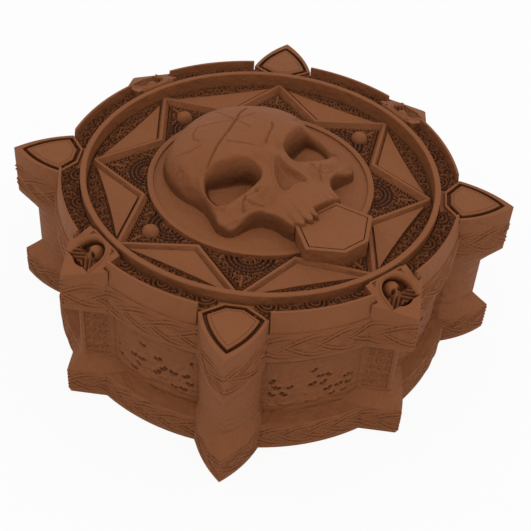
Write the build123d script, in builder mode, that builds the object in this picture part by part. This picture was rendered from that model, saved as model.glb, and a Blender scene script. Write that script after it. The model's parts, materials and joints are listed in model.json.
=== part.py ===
from build123d import *
import math
import os

# Round dice storage chest with a lift-off carved lid and an inner dice tray.
# Millimetres, +Z up, origin at the middle of the underside. The head on the lid faces the front, -Y.

# ---- Driving sizes ----

# Shared gaps
bond_gap = 0.1  # between pieces that are glued or pressed together
lid_clearance = 0.4  # radial, lid hoop in the bore of the wall
tray_clearance = 0.5  # radial, tray in the cavity

# Places round the plan, in degrees from +X, counter-clockwise
column_angles = {"back_right": 45, "back_left": 135, "front_left": 225, "front_right": 315}
pilaster_angles = {"right": 0, "back": 90, "left": 180, "front": 270}
bay_angles = {
    "right_back": 22.5,
    "back_right": 67.5,
    "back_left": 112.5,
    "left_back": 157.5,
    "left_front": 202.5,
    "front_left": 247.5,
    "front_right": 292.5,
    "right_front": 337.5,
}

# Plinth
plinth_step = 6.0  # from the wall out to the plinth's face
plinth_height = 13.6
plinth_wash = 1.4  # rise of the sloped top, from the plinth's face to the wall
floor_ledge = 6.0  # width of the lip that carries the floor plate
flange_thickness = 1.5
floor_thickness = 3.0
felt_thickness = 1.5

# Wall
wall_thickness = 13.0
corbel_bottom = 43.5
corbel_rise = 5.0
cornice_flare = 4.5  # from the wall out to the cornice
wall_top = 63.0
ledge_drop = 3.0  # from the wall's top down to the ledge that carries the lid

# Rim, between the lid and the parapet
trench_width = 7.0
rim_thickness = 4.9
parapet_inner_inset = 2.7  # from the cornice's face
parapet_foot_inset = 0.5
parapet_top_inset = 1.7
parapet_rise = 9.6  # above the wall's top

# Columns on the diagonals, with pointed plans
lobe_reach = 18.1  # from the plinth's face to the tip
lobe_half = 13.6
shaft_reach = 16.6  # from the wall to the tip
shaft_half = 11.7
shaft_foot_rise = 6.2  # from the plinth's top
capital_reach = 19.9  # from the cornice's face to the tip
capital_half = 12.9
capital_foot_drop = 3.5  # below the corbel
capital_flare_rise = 6.8
shoulder_reach = 2.5  # from the wall to where the straight sides turn into the two pointed arcs
ogive_bulge = 1.7
nose_gap = 1.6  # from the bore to the inner end of the shield-shaped head
nose_half = 4.6
head_rise = 6.3  # above the wall's top

# Shields in the heads of the columns
shield_tip_margin = 3.4
shield_side_margin = 1.5
shield_nose_margin = 0.8
shield_recess = 1.8
shield_groove = 1.6
shield_rise = 0.4

# Pilasters on the axes, with square corners pointing outwards
base_reach = 10.4  # from the plinth's face to the corner
pilaster_reach = 9.5  # from the wall to the corner
pilaster_foot_rise = 4.8  # from the plinth's top
pilaster_blunt = 0.6
frame_margin = 2.2
frame_depth = 0.8

# Blocks on the pilasters, each with a niche
block_reach = 11.5  # from the cornice's face to the corner
block_foot_rise = 4.1  # above the corbel's foot
block_front_rise = 1.8  # of the outer corner, above the wall's top
niche_crest_rise = 9.3  # above the wall's top
niche_gap = 1.2  # from the bore to the crest
niche_house_half = 10.2
niche_half = 6.6
niche_leg = 5.6
niche_depth = 4.4
niche_edge = 0.9
niche_head_radius = 4.2
niche_jaw_width = 5.4
niche_jaw_reach = 5.2
niche_eye_pitch = 3.6
niche_eye_drop = 1.6
niche_eye_radius = 1.2

# Relief panels on the wall
panel_foot_gap = 2.4  # above the plinth's sloped top
panel_head_gap = 0.5  # below the corbel
panel_thickness = 1.1
panel_margin = 1.4

# Lid
hoop_wall = 2.4
hoop_rise = 6.9  # above the lid's base
lid_base_thickness = 5.6
disc_margin = 4.5  # from the end of the head to the disc's edge
disc_thickness = 1.6
disc_border_width = 2.3
disc_border_height = 0.8
star_reach = 23.0  # from the disc's edge to the tips of the star
star_tip_inset = 1.5  # from the inside of the hoop
star_waist_gap = 2.5  # from the disc's edge to the inner corners of the star
ridge_width = 3.8
ridge_height = 2.7
ridge_bevel = 1.3
star_panel_height = 1.7
star_panel_hollow = 6.3  # from the tips' circle in to the middle of the hollow edge
inlay_height = 0.9
bead_gap = 8.0  # from the disc's edge to the middle of a bead
bead_radius = 3.5
bead_count = 3

# Carved head on the lid: distance along Y, half width, height above the disc
head_sections = [
    (42.0, 7.0, 3.5),
    (38.0, 19.0, 11.0),
    (28.0, 29.0, 17.5),
    (14.0, 34.0, 20.3),
    (2.0, 33.0, 20.0),
    (-8.0, 29.5, 17.5),
    (-17.0, 24.0, 14.5),
    (-26.0, 16.5, 11.5),
    (-34.0, 13.0, 9.5),
    (-37.5, 11.5, 8.4),
]
eye_across = 18.0
eye_along = -4.0
eye_radius = 10.0
eye_floor = 6.0  # above the disc
eye_turn = 20  # degrees, outer end towards the teeth
nose_point = -8.0
nose_length = 13.0
nose_opening_half = 6.0
nose_floor = 9.5
cheek_across = 26.0
cheek_along = -12.0
cheek_radius = 8.5
cheek_height = 6.0

# Bare six-sided plaque that the head holds in its teeth
plaque_points = [(10.8, -33.6), (17.0, -48.5), (5.8, -58.6)]
plaque_rise = 8.4  # above the lid's base
plaque_border = 1.5
plaque_recess = 1.2
plaque_face_gap = 0.5

# Magnets and locating pins between the lid and the wall
magnet_radius = 2.5
magnet_thickness = 2.0
magnet_count = 8
magnet_sink = 0.2  # below the face that they pull through
pin_radius = 1.5
pin_count = 4
pin_depth = 4.0
pin_reach = 2.0
pin_clearance = 0.3

# Dice tray and the ring that carries it
tray_rest_width = 4.4
tray_rest_thickness = 3.0
tray_lid_gap = 2.5  # between the tray's top and the lid
tray_floor_thickness = 3.5
tray_wall = 3.0
tray_depth = 20.0  # inside
divider_count = 7
divider_thickness = 3.0
divider_drop = 2.0  # below the tray's top
finger_hole_radius = 12.0

# ---- Worked-out sizes ----

half_bay = (column_angles["back_right"] - pilaster_angles["right"]) / 2
disc_radius = head_sections[0][0] + disc_margin
bead_orbit = disc_radius + bead_gap
bead_span = pilaster_angles["left"] - pilaster_angles["right"]
star_waist_radius = disc_radius + star_waist_gap
star_tip_radius = disc_radius + star_reach
star_panel_edge_radius = star_tip_radius - star_panel_hollow
hoop_inner_radius = star_tip_radius + star_tip_inset
well_radius = hoop_inner_radius - bond_gap
hoop_radius = hoop_inner_radius + hoop_wall
bore_radius = hoop_radius + lid_clearance
parapet_inner_radius = bore_radius + trench_width
cornice_radius = parapet_inner_radius + parapet_inner_inset
wall_radius = cornice_radius - cornice_flare
cavity_radius = wall_radius - wall_thickness
plinth_radius = wall_radius + plinth_step

cornice_bottom = corbel_bottom + corbel_rise
ledge_height = wall_top - ledge_drop
rim_top = wall_top + rim_thickness
parapet_foot_radius = cornice_radius - parapet_foot_inset
parapet_top_radius = cornice_radius - parapet_top_inset
parapet_height = wall_top + parapet_rise

lobe_tip = plinth_radius + lobe_reach
shaft_tip = wall_radius + shaft_reach
shaft_foot = plinth_height + shaft_foot_rise
capital_tip = cornice_radius + capital_reach
capital_foot = corbel_bottom - capital_foot_drop
capital_rim = capital_foot + capital_flare_rise
shoulder_radius = wall_radius + shoulder_reach
nose_radius = bore_radius + nose_gap
shield_height = wall_top + head_rise
shield_tip = capital_tip - shield_tip_margin
shield_half = capital_half - shield_side_margin
shield_nose_radius = nose_radius + shield_nose_margin
shield_nose_half = nose_half - shield_nose_margin

base_apex = plinth_radius + base_reach
pilaster_apex = wall_radius + pilaster_reach
pilaster_foot = plinth_height + pilaster_foot_rise
block_apex = cornice_radius + block_reach
block_foot = corbel_bottom + block_foot_rise
block_height = wall_top + block_front_rise
niche_crest = wall_top + niche_crest_rise
niche_inner_radius = bore_radius + niche_gap
slope_angle = math.atan2(niche_crest - block_height, block_apex - niche_inner_radius)
panel_foot = plinth_height + plinth_wash + panel_foot_gap
panel_height = corbel_bottom - panel_head_gap

felt_top = flange_thickness + floor_thickness + felt_thickness
lid_top = ledge_height + lid_base_thickness
disc_top = lid_top + disc_thickness
hoop_top = lid_top + hoop_rise
plaque_top = lid_top + plaque_rise
ledge_orbit = (cavity_radius + bore_radius) / 2
tray_radius = cavity_radius - tray_clearance
tray_rest_radius = cavity_radius - tray_rest_width
tray_top = ledge_height - tray_lid_gap
tray_floor_top = tray_top - tray_depth
tray_bottom = tray_floor_top - tray_floor_thickness


def level(angle, height):
    """Flat plane at a height, whose X points outwards at the angle."""
    turn = math.radians(angle)
    return Plane(origin=(0, 0, height), x_dir=(math.cos(turn), math.sin(turn), 0), z_dir=(0, 0, 1))


def upright(angle):
    """Standing plane through the middle, whose X points outwards at the angle and whose Y points up."""
    turn = math.radians(angle)
    return Plane(
        origin=(0, 0, 0),
        x_dir=(math.cos(turn), math.sin(turn), 0),
        z_dir=(math.sin(turn), -math.cos(turn), 0),
    )


def niche_slope(angle):
    """Plane on the sloped top of a pilaster block, from its crest, whose Y points up the slope."""
    turn = math.radians(angle)
    out = (math.cos(turn), math.sin(turn))
    lean = math.sin(slope_angle)
    return Plane(
        origin=(niche_inner_radius * out[0], niche_inner_radius * out[1], niche_crest),
        x_dir=(-out[1], out[0], 0),
        z_dir=(lean * out[0], lean * out[1], math.cos(slope_angle)),
    )


def pointed_face(inner, inner_half, half, tip):
    """Plan of a column: an inner end, two sides and two arcs that meet in a point."""
    run = tip - shoulder_radius
    side = math.hypot(run, half)
    bow = ((shoulder_radius + tip) / 2 + ogive_bulge * half / side, half / 2 + ogive_bulge * run / side)
    with BuildSketch(mode=Mode.PRIVATE) as plan:
        with BuildLine():
            Polyline((shoulder_radius, -half), (inner, -inner_half), (inner, inner_half), (shoulder_radius, half))
            ThreePointArc((shoulder_radius, half), bow, (tip, 0))
            ThreePointArc((tip, 0), (bow[0], -bow[1]), (shoulder_radius, -half))
        make_face()
    return plan.sketch_local


def corner_face(inner, apex, blunt):
    """Plan of a pilaster: a square corner that points outwards, with its tip cut blunt."""
    with BuildSketch(mode=Mode.PRIVATE) as plan:
        with BuildLine():
            Polyline(
                (inner, inner - apex),
                (apex - blunt, -blunt),
                (apex - blunt, blunt),
                (inner, apex - inner),
                close=True,
            )
        make_face()
    return plan.sketch_local


def corner_half_angle(apex, radius):
    """Angle from a pilaster's middle to where its side meets the circle of that radius."""
    return math.degrees(math.asin(apex / (radius * math.sqrt(2)))) - 45


def star_face(spread):
    """Eight-pointed star, with its outline moved outwards by the spread."""
    with BuildSketch(mode=Mode.PRIVATE) as plain_star:
        with BuildLine():
            Polyline(
                [
                    (
                        radius * math.cos(math.radians(turn)),
                        radius * math.sin(math.radians(turn)),
                    )
                    for step in range(8)
                    for radius, turn in (
                        (star_tip_radius, 45 * step),
                        (star_waist_radius, 45 * step + half_bay),
                    )
                ],
                close=True,
            )
        make_face()
        offset(amount=spread, kind=Kind.INTERSECTION)
    return plain_star.sketch_local


def bay_face(edge_radius):
    """Three-sided field between two points of the star, with a hollow arc for its outer edge."""
    tip = (star_tip_radius * math.cos(math.radians(half_bay)), star_tip_radius * math.sin(math.radians(half_bay)))
    with BuildSketch(mode=Mode.PRIVATE) as plain_bay:
        with BuildLine():
            Polyline((tip[0], tip[1]), (star_waist_radius - ridge_width, 0), (tip[0], -tip[1]))
            ThreePointArc((tip[0], -tip[1]), (edge_radius, 0), (tip[0], tip[1]))
        make_face()
    return plain_bay.sketch_local


def plaque_face(shrink):
    """Outline of the six-sided plaque, drawn in by the shrink."""
    right_side = plaque_points
    left_side = [(-across, along) for across, along in reversed(plaque_points)]
    with BuildSketch(mode=Mode.PRIVATE) as plain_plaque:
        with BuildLine():
            Polyline(right_side + left_side, close=True)
        make_face()
        if shrink:
            offset(amount=-shrink, kind=Kind.INTERSECTION)
    return plain_plaque.sketch_local


parts = {}

# ---- Plans used at more than one height ----

lobe_plan = pointed_face(cavity_radius, lobe_half, lobe_half, lobe_tip)
shaft_plan = pointed_face(cavity_radius, shaft_half, shaft_half, shaft_tip)
capital_plan = pointed_face(cavity_radius, capital_half, capital_half, capital_tip)
head_plan = pointed_face(nose_radius, nose_half, capital_half, capital_tip)
head_notch_plan = pointed_face(
    nose_radius - bond_gap, nose_half + bond_gap, capital_half + bond_gap, capital_tip
)
shield_plan = pointed_face(shield_nose_radius, shield_nose_half, shield_half, shield_tip)
base_corner_plan = corner_face(cavity_radius, base_apex, pilaster_blunt)
pilaster_plan = corner_face(cavity_radius, pilaster_apex, pilaster_blunt)
block_plan = corner_face(cavity_radius, block_apex, pilaster_blunt)
wide_star = star_face(ridge_width / 2)
wide_star_clear = star_face(ridge_width / 2 + bond_gap)
narrow_star = star_face(-ridge_width / 2)
narrow_star_clear = star_face(-ridge_width / 2 - bond_gap)
bay_plan = bay_face(star_panel_edge_radius)
bay_clear_plan = bay_face(star_panel_edge_radius + bond_gap)
plaque_plan = plaque_face(0)
plaque_clear_plan = plaque_face(-bond_gap)
plaque_well_plan = plaque_face(plaque_border)
plaque_panel_plan = plaque_face(plaque_border + plaque_face_gap)

# ---- Cutters: the space that the wall and its parapet take, with the bonding gap ----

with BuildPart() as wall_space:
    with BuildSketch(upright(0)):
        Polygon(
            (0, plinth_height),
            (wall_radius + bond_gap, plinth_height),
            (wall_radius + bond_gap, corbel_bottom - bond_gap),
            (cornice_radius + bond_gap, cornice_bottom - bond_gap),
            (cornice_radius + bond_gap, wall_top),
            (0, wall_top),
            align=None,
        )
    revolve(axis=Axis.Z)

with BuildPart() as parapet_space:
    with BuildSketch(Plane.XY.offset(wall_top)):
        Circle(parapet_foot_radius + bond_gap)
    extrude(amount=niche_crest - wall_top)

with BuildPart() as plaque_space:
    with BuildSketch(Plane.XY.offset(lid_top)):
        add(plaque_clear_plan)
    extrude(amount=plaque_top + bond_gap - lid_top)

# ---- Plinth and floor ----

with BuildPart() as base_plinth:
    with BuildSketch():
        Circle(plinth_radius)
        with PolarLocations(0, 4, start_angle=45):
            add(lobe_plan)
        with PolarLocations(0, 4):
            add(base_corner_plan)
    extrude(amount=plinth_height)
    with BuildSketch(upright(0)):
        Polygon(
            (cavity_radius, plinth_height),
            (plinth_radius, plinth_height),
            (wall_radius, plinth_height + plinth_wash),
            (cavity_radius, plinth_height + plinth_wash),
            align=None,
        )
    revolve(axis=Axis.Z)
    for angle in column_angles.values():
        with BuildSketch(level(angle, plinth_height)):
            add(lobe_plan)
        with BuildSketch(level(angle, shaft_foot)):
            add(shaft_plan)
        loft(ruled=True)
    for angle in pilaster_angles.values():
        with BuildSketch(level(angle, plinth_height)):
            add(base_corner_plan)
        with BuildSketch(level(angle, pilaster_foot)):
            add(pilaster_plan)
        loft(ruled=True)
    add(wall_space.part, mode=Mode.SUBTRACT)
    with BuildSketch():
        Circle(cavity_radius - floor_ledge)
    extrude(amount=plinth_height, mode=Mode.SUBTRACT)
    with BuildSketch(Plane.XY.offset(flange_thickness)):
        Circle(cavity_radius + bond_gap)
    extrude(amount=plinth_height, mode=Mode.SUBTRACT)
parts["base_plinth"] = base_plinth.part

with BuildPart() as floor_plate:
    with BuildSketch(Plane.XY.offset(flange_thickness)):
        Circle(cavity_radius)
    extrude(amount=floor_thickness)
parts["floor_plate"] = floor_plate.part

with BuildPart() as floor_felt:
    with BuildSketch(Plane.XY.offset(flange_thickness + floor_thickness)):
        Circle(cavity_radius - bond_gap)
    extrude(amount=felt_thickness)
parts["floor_felt"] = floor_felt.part

# ---- Wall, with the ledge for the lid ----

with BuildPart() as drum_wall:
    with BuildSketch(upright(0)):
        Polygon(
            (cavity_radius, plinth_height),
            (wall_radius, plinth_height),
            (wall_radius, corbel_bottom),
            (cornice_radius, cornice_bottom),
            (cornice_radius, wall_top),
            (bore_radius, wall_top),
            (bore_radius, ledge_height),
            (cavity_radius, ledge_height),
            align=None,
        )
    revolve(axis=Axis.Z)
    with BuildSketch(Plane.XY.offset(ledge_height)):
        with PolarLocations(ledge_orbit, magnet_count, start_angle=half_bay):
            Circle(magnet_radius + bond_gap)
    extrude(amount=-(magnet_thickness + magnet_sink), mode=Mode.SUBTRACT)
    with BuildSketch(Plane.XY.offset(ledge_height)):
        with PolarLocations(ledge_orbit, pin_count):
            Circle(pin_radius + bond_gap)
    extrude(amount=-pin_depth, mode=Mode.SUBTRACT)
parts["drum_wall"] = drum_wall.part

with BuildPart() as wall_magnets:
    with BuildSketch(Plane.XY.offset(ledge_height - magnet_sink - magnet_thickness)):
        with PolarLocations(ledge_orbit, magnet_count, start_angle=half_bay):
            Circle(magnet_radius)
    extrude(amount=magnet_thickness)
parts["wall_magnets"] = wall_magnets.part

with BuildPart() as locating_pins:
    with BuildSketch(Plane.XY.offset(ledge_height - pin_depth)):
        with PolarLocations(ledge_orbit, pin_count):
            Circle(pin_radius)
    extrude(amount=pin_depth + pin_reach)
    chamfer(locating_pins.edges().group_by(Axis.Z)[-1], length=pin_radius / 3)
parts["locating_pins"] = locating_pins.part

with BuildPart() as tray_rest_ring:
    with BuildSketch(Plane.XY.offset(tray_bottom - tray_rest_thickness)):
        Circle(cavity_radius - bond_gap)
        Circle(tray_rest_radius, mode=Mode.SUBTRACT)
    extrude(amount=tray_rest_thickness)
parts["tray_rest_ring"] = tray_rest_ring.part

with BuildPart() as rim_ring:
    with BuildSketch(Plane.XY.offset(wall_top)):
        Circle(parapet_inner_radius - bond_gap)
        Circle(bore_radius, mode=Mode.SUBTRACT)
    extrude(amount=rim_top - wall_top)
    with BuildSketch(Plane.XY.offset(wall_top)):
        with PolarLocations(0, 4, start_angle=45):
            add(head_notch_plan)
        with PolarLocations((niche_inner_radius + block_apex) / 2, 4):
            Rectangle(block_apex - niche_inner_radius + 2 * bond_gap, 2 * (niche_house_half + bond_gap))
    extrude(amount=rim_top - wall_top, mode=Mode.SUBTRACT)
parts["rim_ring"] = rim_ring.part

# ---- Parapet, in eight pieces between the columns and the pilasters ----

column_gap_angle = math.degrees(math.asin((capital_half + 2 * bond_gap) / parapet_inner_radius))
pilaster_gap_angle = math.degrees(math.asin((niche_house_half + 2 * bond_gap) / parapet_inner_radius))
for place, middle in bay_angles.items():
    column_is_next = (middle + half_bay) % 90 != 0
    start_gap = pilaster_gap_angle if column_is_next else column_gap_angle
    end_gap = column_gap_angle if column_is_next else pilaster_gap_angle
    with BuildPart() as parapet:
        with BuildSketch(upright(middle - half_bay + start_gap)):
            Polygon(
                (parapet_inner_radius, wall_top),
                (parapet_foot_radius, wall_top),
                (parapet_top_radius, parapet_height),
                (parapet_inner_radius, parapet_height),
                align=None,
            )
        revolve(axis=Axis.Z, revolution_arc=2 * half_bay - start_gap - end_gap)
    parts["parapet_" + place] = parapet.part

# ---- Relief panels on the wall ----

column_edge_angle = math.degrees(math.asin((shaft_half + panel_margin) / wall_radius))
pilaster_edge_angle = corner_half_angle(pilaster_apex, wall_radius) + math.degrees(panel_margin / wall_radius)
for place, middle in bay_angles.items():
    column_is_next = (middle + half_bay) % 90 != 0
    start_gap = pilaster_edge_angle if column_is_next else column_edge_angle
    end_gap = column_edge_angle if column_is_next else pilaster_edge_angle
    with BuildPart() as wall_panel:
        with BuildSketch(upright(middle - half_bay + start_gap)):
            Polygon(
                (wall_radius + bond_gap, panel_foot),
                (wall_radius + bond_gap + panel_thickness, panel_foot),
                (wall_radius + bond_gap + panel_thickness, panel_height),
                (wall_radius + bond_gap, panel_height),
                align=None,
            )
        revolve(axis=Axis.Z, revolution_arc=2 * half_bay - start_gap - end_gap)
    parts["wall_panel_" + place] = wall_panel.part

# ---- Columns and their shields ----

for place, angle in column_angles.items():
    with BuildPart() as column:
        with BuildSketch(level(angle, shaft_foot)):
            add(shaft_plan)
        extrude(amount=capital_foot - shaft_foot)
        with BuildSketch(level(angle, capital_foot)):
            add(shaft_plan)
        with BuildSketch(level(angle, capital_rim)):
            add(capital_plan)
        loft(ruled=True)
        with BuildSketch(level(angle, capital_rim)):
            add(capital_plan)
        extrude(amount=wall_top - capital_rim)
        add(wall_space.part, mode=Mode.SUBTRACT)
        with BuildSketch(level(angle, wall_top)):
            add(head_plan)
        extrude(amount=shield_height - wall_top)
        with BuildSketch(level(angle, shield_height)):
            add(shield_plan)
        extrude(amount=-shield_recess, mode=Mode.SUBTRACT)
    parts["column_" + place] = column.part

    with BuildPart() as shield:
        with BuildSketch(level(angle, shield_height - shield_recess)):
            add(shield_plan)
            offset(amount=-shield_groove, kind=Kind.INTERSECTION)
        extrude(amount=shield_recess + shield_rise)
        chamfer(shield.edges().group_by(Axis.Z)[-1], length=shield_rise)
    parts["shield_" + place] = shield.part

# ---- Pilasters, their blocks and the small heads in the niches ----

face_width = wall_radius * math.sin(math.radians(corner_half_angle(pilaster_apex, wall_radius))) * math.sqrt(2)
for place, angle in pilaster_angles.items():
    with BuildPart() as pilaster:
        with BuildSketch(level(angle, pilaster_foot)):
            add(pilaster_plan)
        extrude(amount=block_foot - pilaster_foot)
        add(wall_space.part, mode=Mode.SUBTRACT)
        for side in (-1, 1):
            turn = math.radians(angle + 45 * side)
            along = math.radians(angle - 45 * side)
            tip = math.radians(angle)
            face_middle = (
                pilaster_apex * math.cos(tip) - face_width / 2 * math.cos(along),
                pilaster_apex * math.sin(tip) - face_width / 2 * math.sin(along),
                (pilaster_foot + block_foot) / 2,
            )
            with BuildSketch(
                Plane(
                    origin=face_middle,
                    x_dir=(-math.sin(turn), math.cos(turn), 0),
                    z_dir=(math.cos(turn), math.sin(turn), 0),
                )
            ):
                Rectangle(face_width - 2 * frame_margin, block_foot - pilaster_foot - 2 * frame_margin)
            extrude(amount=-frame_depth, mode=Mode.SUBTRACT)
    parts["pilaster_" + place] = pilaster.part

    with BuildPart() as pilaster_block:
        with BuildSketch(level(angle, block_foot)):
            add(block_plan)
        extrude(amount=niche_crest - block_foot)
        add(wall_space.part, mode=Mode.SUBTRACT)
        add(parapet_space.part, mode=Mode.SUBTRACT)
        with BuildSketch(level(angle, wall_top)):
            with Locations(((niche_inner_radius + parapet_foot_radius + 1) / 2, 0)):
                Rectangle(parapet_foot_radius + 1 - niche_inner_radius, 2 * niche_house_half)
        extrude(amount=niche_crest - wall_top)
        with BuildSketch(niche_slope(angle)):
            Rectangle(4 * block_apex, 4 * block_apex)
        extrude(amount=block_apex, mode=Mode.SUBTRACT)
        with BuildSketch(niche_slope(angle)):
            with Locations((0, -niche_edge - niche_half)):
                Circle(niche_half)
            with Locations((0, -niche_edge - niche_half - niche_leg / 2)):
                Rectangle(2 * niche_half, niche_leg)
        extrude(amount=-niche_depth, mode=Mode.SUBTRACT)
    parts["pilaster_block_" + place] = pilaster_block.part

    with BuildPart(niche_slope(angle)) as niche_head:
        with Locations((0, -niche_edge - niche_half, niche_head_radius / 2 - niche_depth)):
            Sphere(niche_head_radius)
        with Locations((0, -niche_edge - niche_half, bond_gap - niche_depth)):
            Box(niche_jaw_width, niche_jaw_reach, niche_depth, align=(Align.CENTER, Align.MAX, Align.MIN))
        with Locations((0, -niche_edge - niche_half - niche_eye_drop, niche_head_radius * 1.4 - niche_depth)):
            with GridLocations(niche_eye_pitch, 1, 2, 1):
                Sphere(niche_eye_radius, mode=Mode.SUBTRACT)
        split(bisect_by=niche_slope(angle).offset(bond_gap - niche_depth), keep=Keep.TOP)
    parts["niche_head_" + place] = niche_head.part

# ---- Lid: base, hoop and magnets ----

with BuildPart() as lid_base:
    with BuildSketch(Plane.XY.offset(ledge_height)):
        Circle(hoop_radius)
    extrude(amount=lid_base_thickness)
    with BuildSketch(Plane.XY.offset(ledge_height)):
        with PolarLocations(ledge_orbit, magnet_count, start_angle=half_bay):
            Circle(magnet_radius + bond_gap)
    extrude(amount=magnet_thickness + magnet_sink, mode=Mode.SUBTRACT)
    with BuildSketch(Plane.XY.offset(ledge_height)):
        with PolarLocations(ledge_orbit, pin_count):
            Circle(pin_radius + pin_clearance)
    extrude(amount=pin_reach + pin_clearance, mode=Mode.SUBTRACT)
parts["lid_base"] = lid_base.part

with BuildPart() as lid_magnets:
    with BuildSketch(Plane.XY.offset(ledge_height + magnet_sink)):
        with PolarLocations(ledge_orbit, magnet_count, start_angle=half_bay):
            Circle(magnet_radius)
    extrude(amount=magnet_thickness)
parts["lid_magnets"] = lid_magnets.part

with BuildPart() as lid_hoop:
    with BuildSketch(Plane.XY.offset(lid_top)):
        Circle(hoop_radius)
        Circle(hoop_inner_radius, mode=Mode.SUBTRACT)
    extrude(amount=hoop_top - lid_top)
    chamfer(lid_hoop.edges().group_by(Axis.Z)[-1], length=hoop_wall / 8)
parts["lid_hoop"] = lid_hoop.part

# ---- Lid: star, panels, inlays and outer bands, round the disc ----

with BuildPart() as star_frame:
    with BuildSketch(Plane.XY.offset(lid_top)) as star_plan:
        add(wide_star)
        add(narrow_star, mode=Mode.SUBTRACT)
        Circle(well_radius, mode=Mode.INTERSECT)
        Circle(disc_radius + bond_gap, mode=Mode.SUBTRACT)
    extrude(amount=ridge_height, taper=math.degrees(math.atan2(ridge_bevel, ridge_height)))
    add(plaque_space.part, mode=Mode.SUBTRACT)
parts["star_frame"] = star_frame.part

with BuildPart() as star_panels:
    with BuildSketch(Plane.XY.offset(lid_top)):
        with PolarLocations(0, 8, start_angle=half_bay):
            add(bay_plan)
        add(wide_star_clear, mode=Mode.SUBTRACT)
    extrude(amount=star_panel_height)
    add(plaque_space.part, mode=Mode.SUBTRACT)
parts["star_panels"] = star_panels.part

with BuildPart() as outer_bands:
    with BuildSketch(Plane.XY.offset(lid_top)):
        Circle(well_radius)
        add(wide_star_clear, mode=Mode.SUBTRACT)
        with PolarLocations(0, 8, start_angle=half_bay):
            add(bay_clear_plan, mode=Mode.SUBTRACT)
    extrude(amount=inlay_height)
parts["outer_bands"] = outer_bands.part

with BuildPart() as star_inlays:
    with BuildSketch(Plane.XY.offset(lid_top)):
        add(narrow_star_clear)
        Circle(disc_radius + bond_gap, mode=Mode.SUBTRACT)
    extrude(amount=inlay_height)
    with BuildSketch(Plane.XY.offset(lid_top)):
        with PolarLocations(bead_orbit, bead_count, angular_range=bead_span, endpoint=True):
            Circle(bead_radius + bond_gap)
    extrude(amount=inlay_height, mode=Mode.SUBTRACT)
    add(plaque_space.part, mode=Mode.SUBTRACT)
parts["star_inlays"] = star_inlays.part

with BuildPart() as beads:
    with BuildSketch(Plane.XY.offset(lid_top)):
        with PolarLocations(bead_orbit, bead_count, angular_range=bead_span, endpoint=True):
            Circle(bead_radius)
    extrude(amount=bead_radius)
    fillet(beads.edges().group_by(Axis.Z)[-1], radius=bead_radius * 0.9)
parts["beads"] = beads.part

with BuildPart() as centre_disc:
    with BuildSketch(Plane.XY.offset(lid_top)):
        Circle(disc_radius)
    extrude(amount=disc_thickness)
    with BuildSketch(Plane.XY.offset(disc_top)):
        Circle(disc_radius)
        Circle(disc_radius - disc_border_width, mode=Mode.SUBTRACT)
    extrude(amount=disc_border_height)
    add(plaque_space.part, mode=Mode.SUBTRACT)
parts["centre_disc"] = centre_disc.part

# ---- Lid: plaque and carved head ----

with BuildPart() as plaque_block:
    with BuildSketch(Plane.XY.offset(lid_top)):
        add(plaque_plan)
    extrude(amount=plaque_top - lid_top)
    with BuildSketch(Plane.XY.offset(plaque_top)):
        add(plaque_well_plan)
    extrude(amount=-plaque_recess, mode=Mode.SUBTRACT)
parts["plaque_block"] = plaque_block.part

with BuildPart() as plaque_panel:
    with BuildSketch(Plane.XY.offset(plaque_top - plaque_recess)):
        add(plaque_panel_plan)
    extrude(amount=plaque_recess)
parts["plaque_panel"] = plaque_panel.part

with BuildPart() as carved_head:
    for along, half_width, height in head_sections:
        section_plane = Plane(origin=(0, along, disc_top), x_dir=(1, 0, 0), z_dir=(0, -1, 0))
        with BuildSketch(section_plane):
            with BuildLine():
                EllipticalCenterArc((0, 0), half_width, height, start_angle=0, arc_size=180)
                Line((-half_width, 0), (half_width, 0))
            make_face()
    loft()
    for side in (-1, 1):
        with BuildSketch(Plane.XY.offset(disc_top)):
            with Locations((side * cheek_across, cheek_along)):
                Circle(cheek_radius)
        extrude(amount=cheek_height)
        with BuildSketch(Plane.XY.offset(disc_top + eye_floor)):
            with Locations((side * eye_across, eye_along)):
                Ellipse(eye_radius * 1.15, eye_radius * 0.7, rotation=-side * eye_turn)
        extrude(amount=eye_radius * 3, mode=Mode.SUBTRACT)
    with BuildSketch(Plane.XY.offset(disc_top + nose_floor)):
        with BuildLine():
            Polyline(
                (0, nose_point),
                (nose_opening_half, nose_point - nose_length),
                (-nose_opening_half, nose_point - nose_length),
                close=True,
            )
        make_face()
    extrude(amount=eye_radius * 3, mode=Mode.SUBTRACT)
    add(plaque_space.part, mode=Mode.SUBTRACT)
    with BuildSketch(Plane.XY.offset(disc_top)):
        Circle(disc_radius * 2)
        Circle(disc_radius - disc_border_width - bond_gap, mode=Mode.SUBTRACT)
    extrude(amount=disc_border_height + bond_gap, mode=Mode.SUBTRACT)
parts["carved_head"] = carved_head.part

# ---- Dice tray: floor, ring, hub and the walls between its pockets ----

with BuildPart() as tray_floor:
    with BuildSketch(Plane.XY.offset(tray_bottom)):
        Circle(tray_radius)
        Circle(finger_hole_radius, mode=Mode.SUBTRACT)
    extrude(amount=tray_floor_thickness)
parts["tray_floor"] = tray_floor.part

with BuildPart() as tray_ring:
    with BuildSketch(Plane.XY.offset(tray_floor_top)):
        Circle(tray_radius)
        Circle(tray_radius - tray_wall, mode=Mode.SUBTRACT)
    extrude(amount=tray_depth)
    chamfer(tray_ring.edges().group_by(Axis.Z)[-1], length=tray_wall / 6)
parts["tray_ring"] = tray_ring.part

with BuildPart() as tray_hub:
    with BuildSketch(Plane.XY.offset(tray_floor_top)):
        Circle(finger_hole_radius + tray_wall)
        Circle(finger_hole_radius, mode=Mode.SUBTRACT)
    extrude(amount=tray_depth)
    chamfer(tray_hub.edges().group_by(Axis.Z)[-1], length=tray_wall / 6)
parts["tray_hub"] = tray_hub.part

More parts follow.
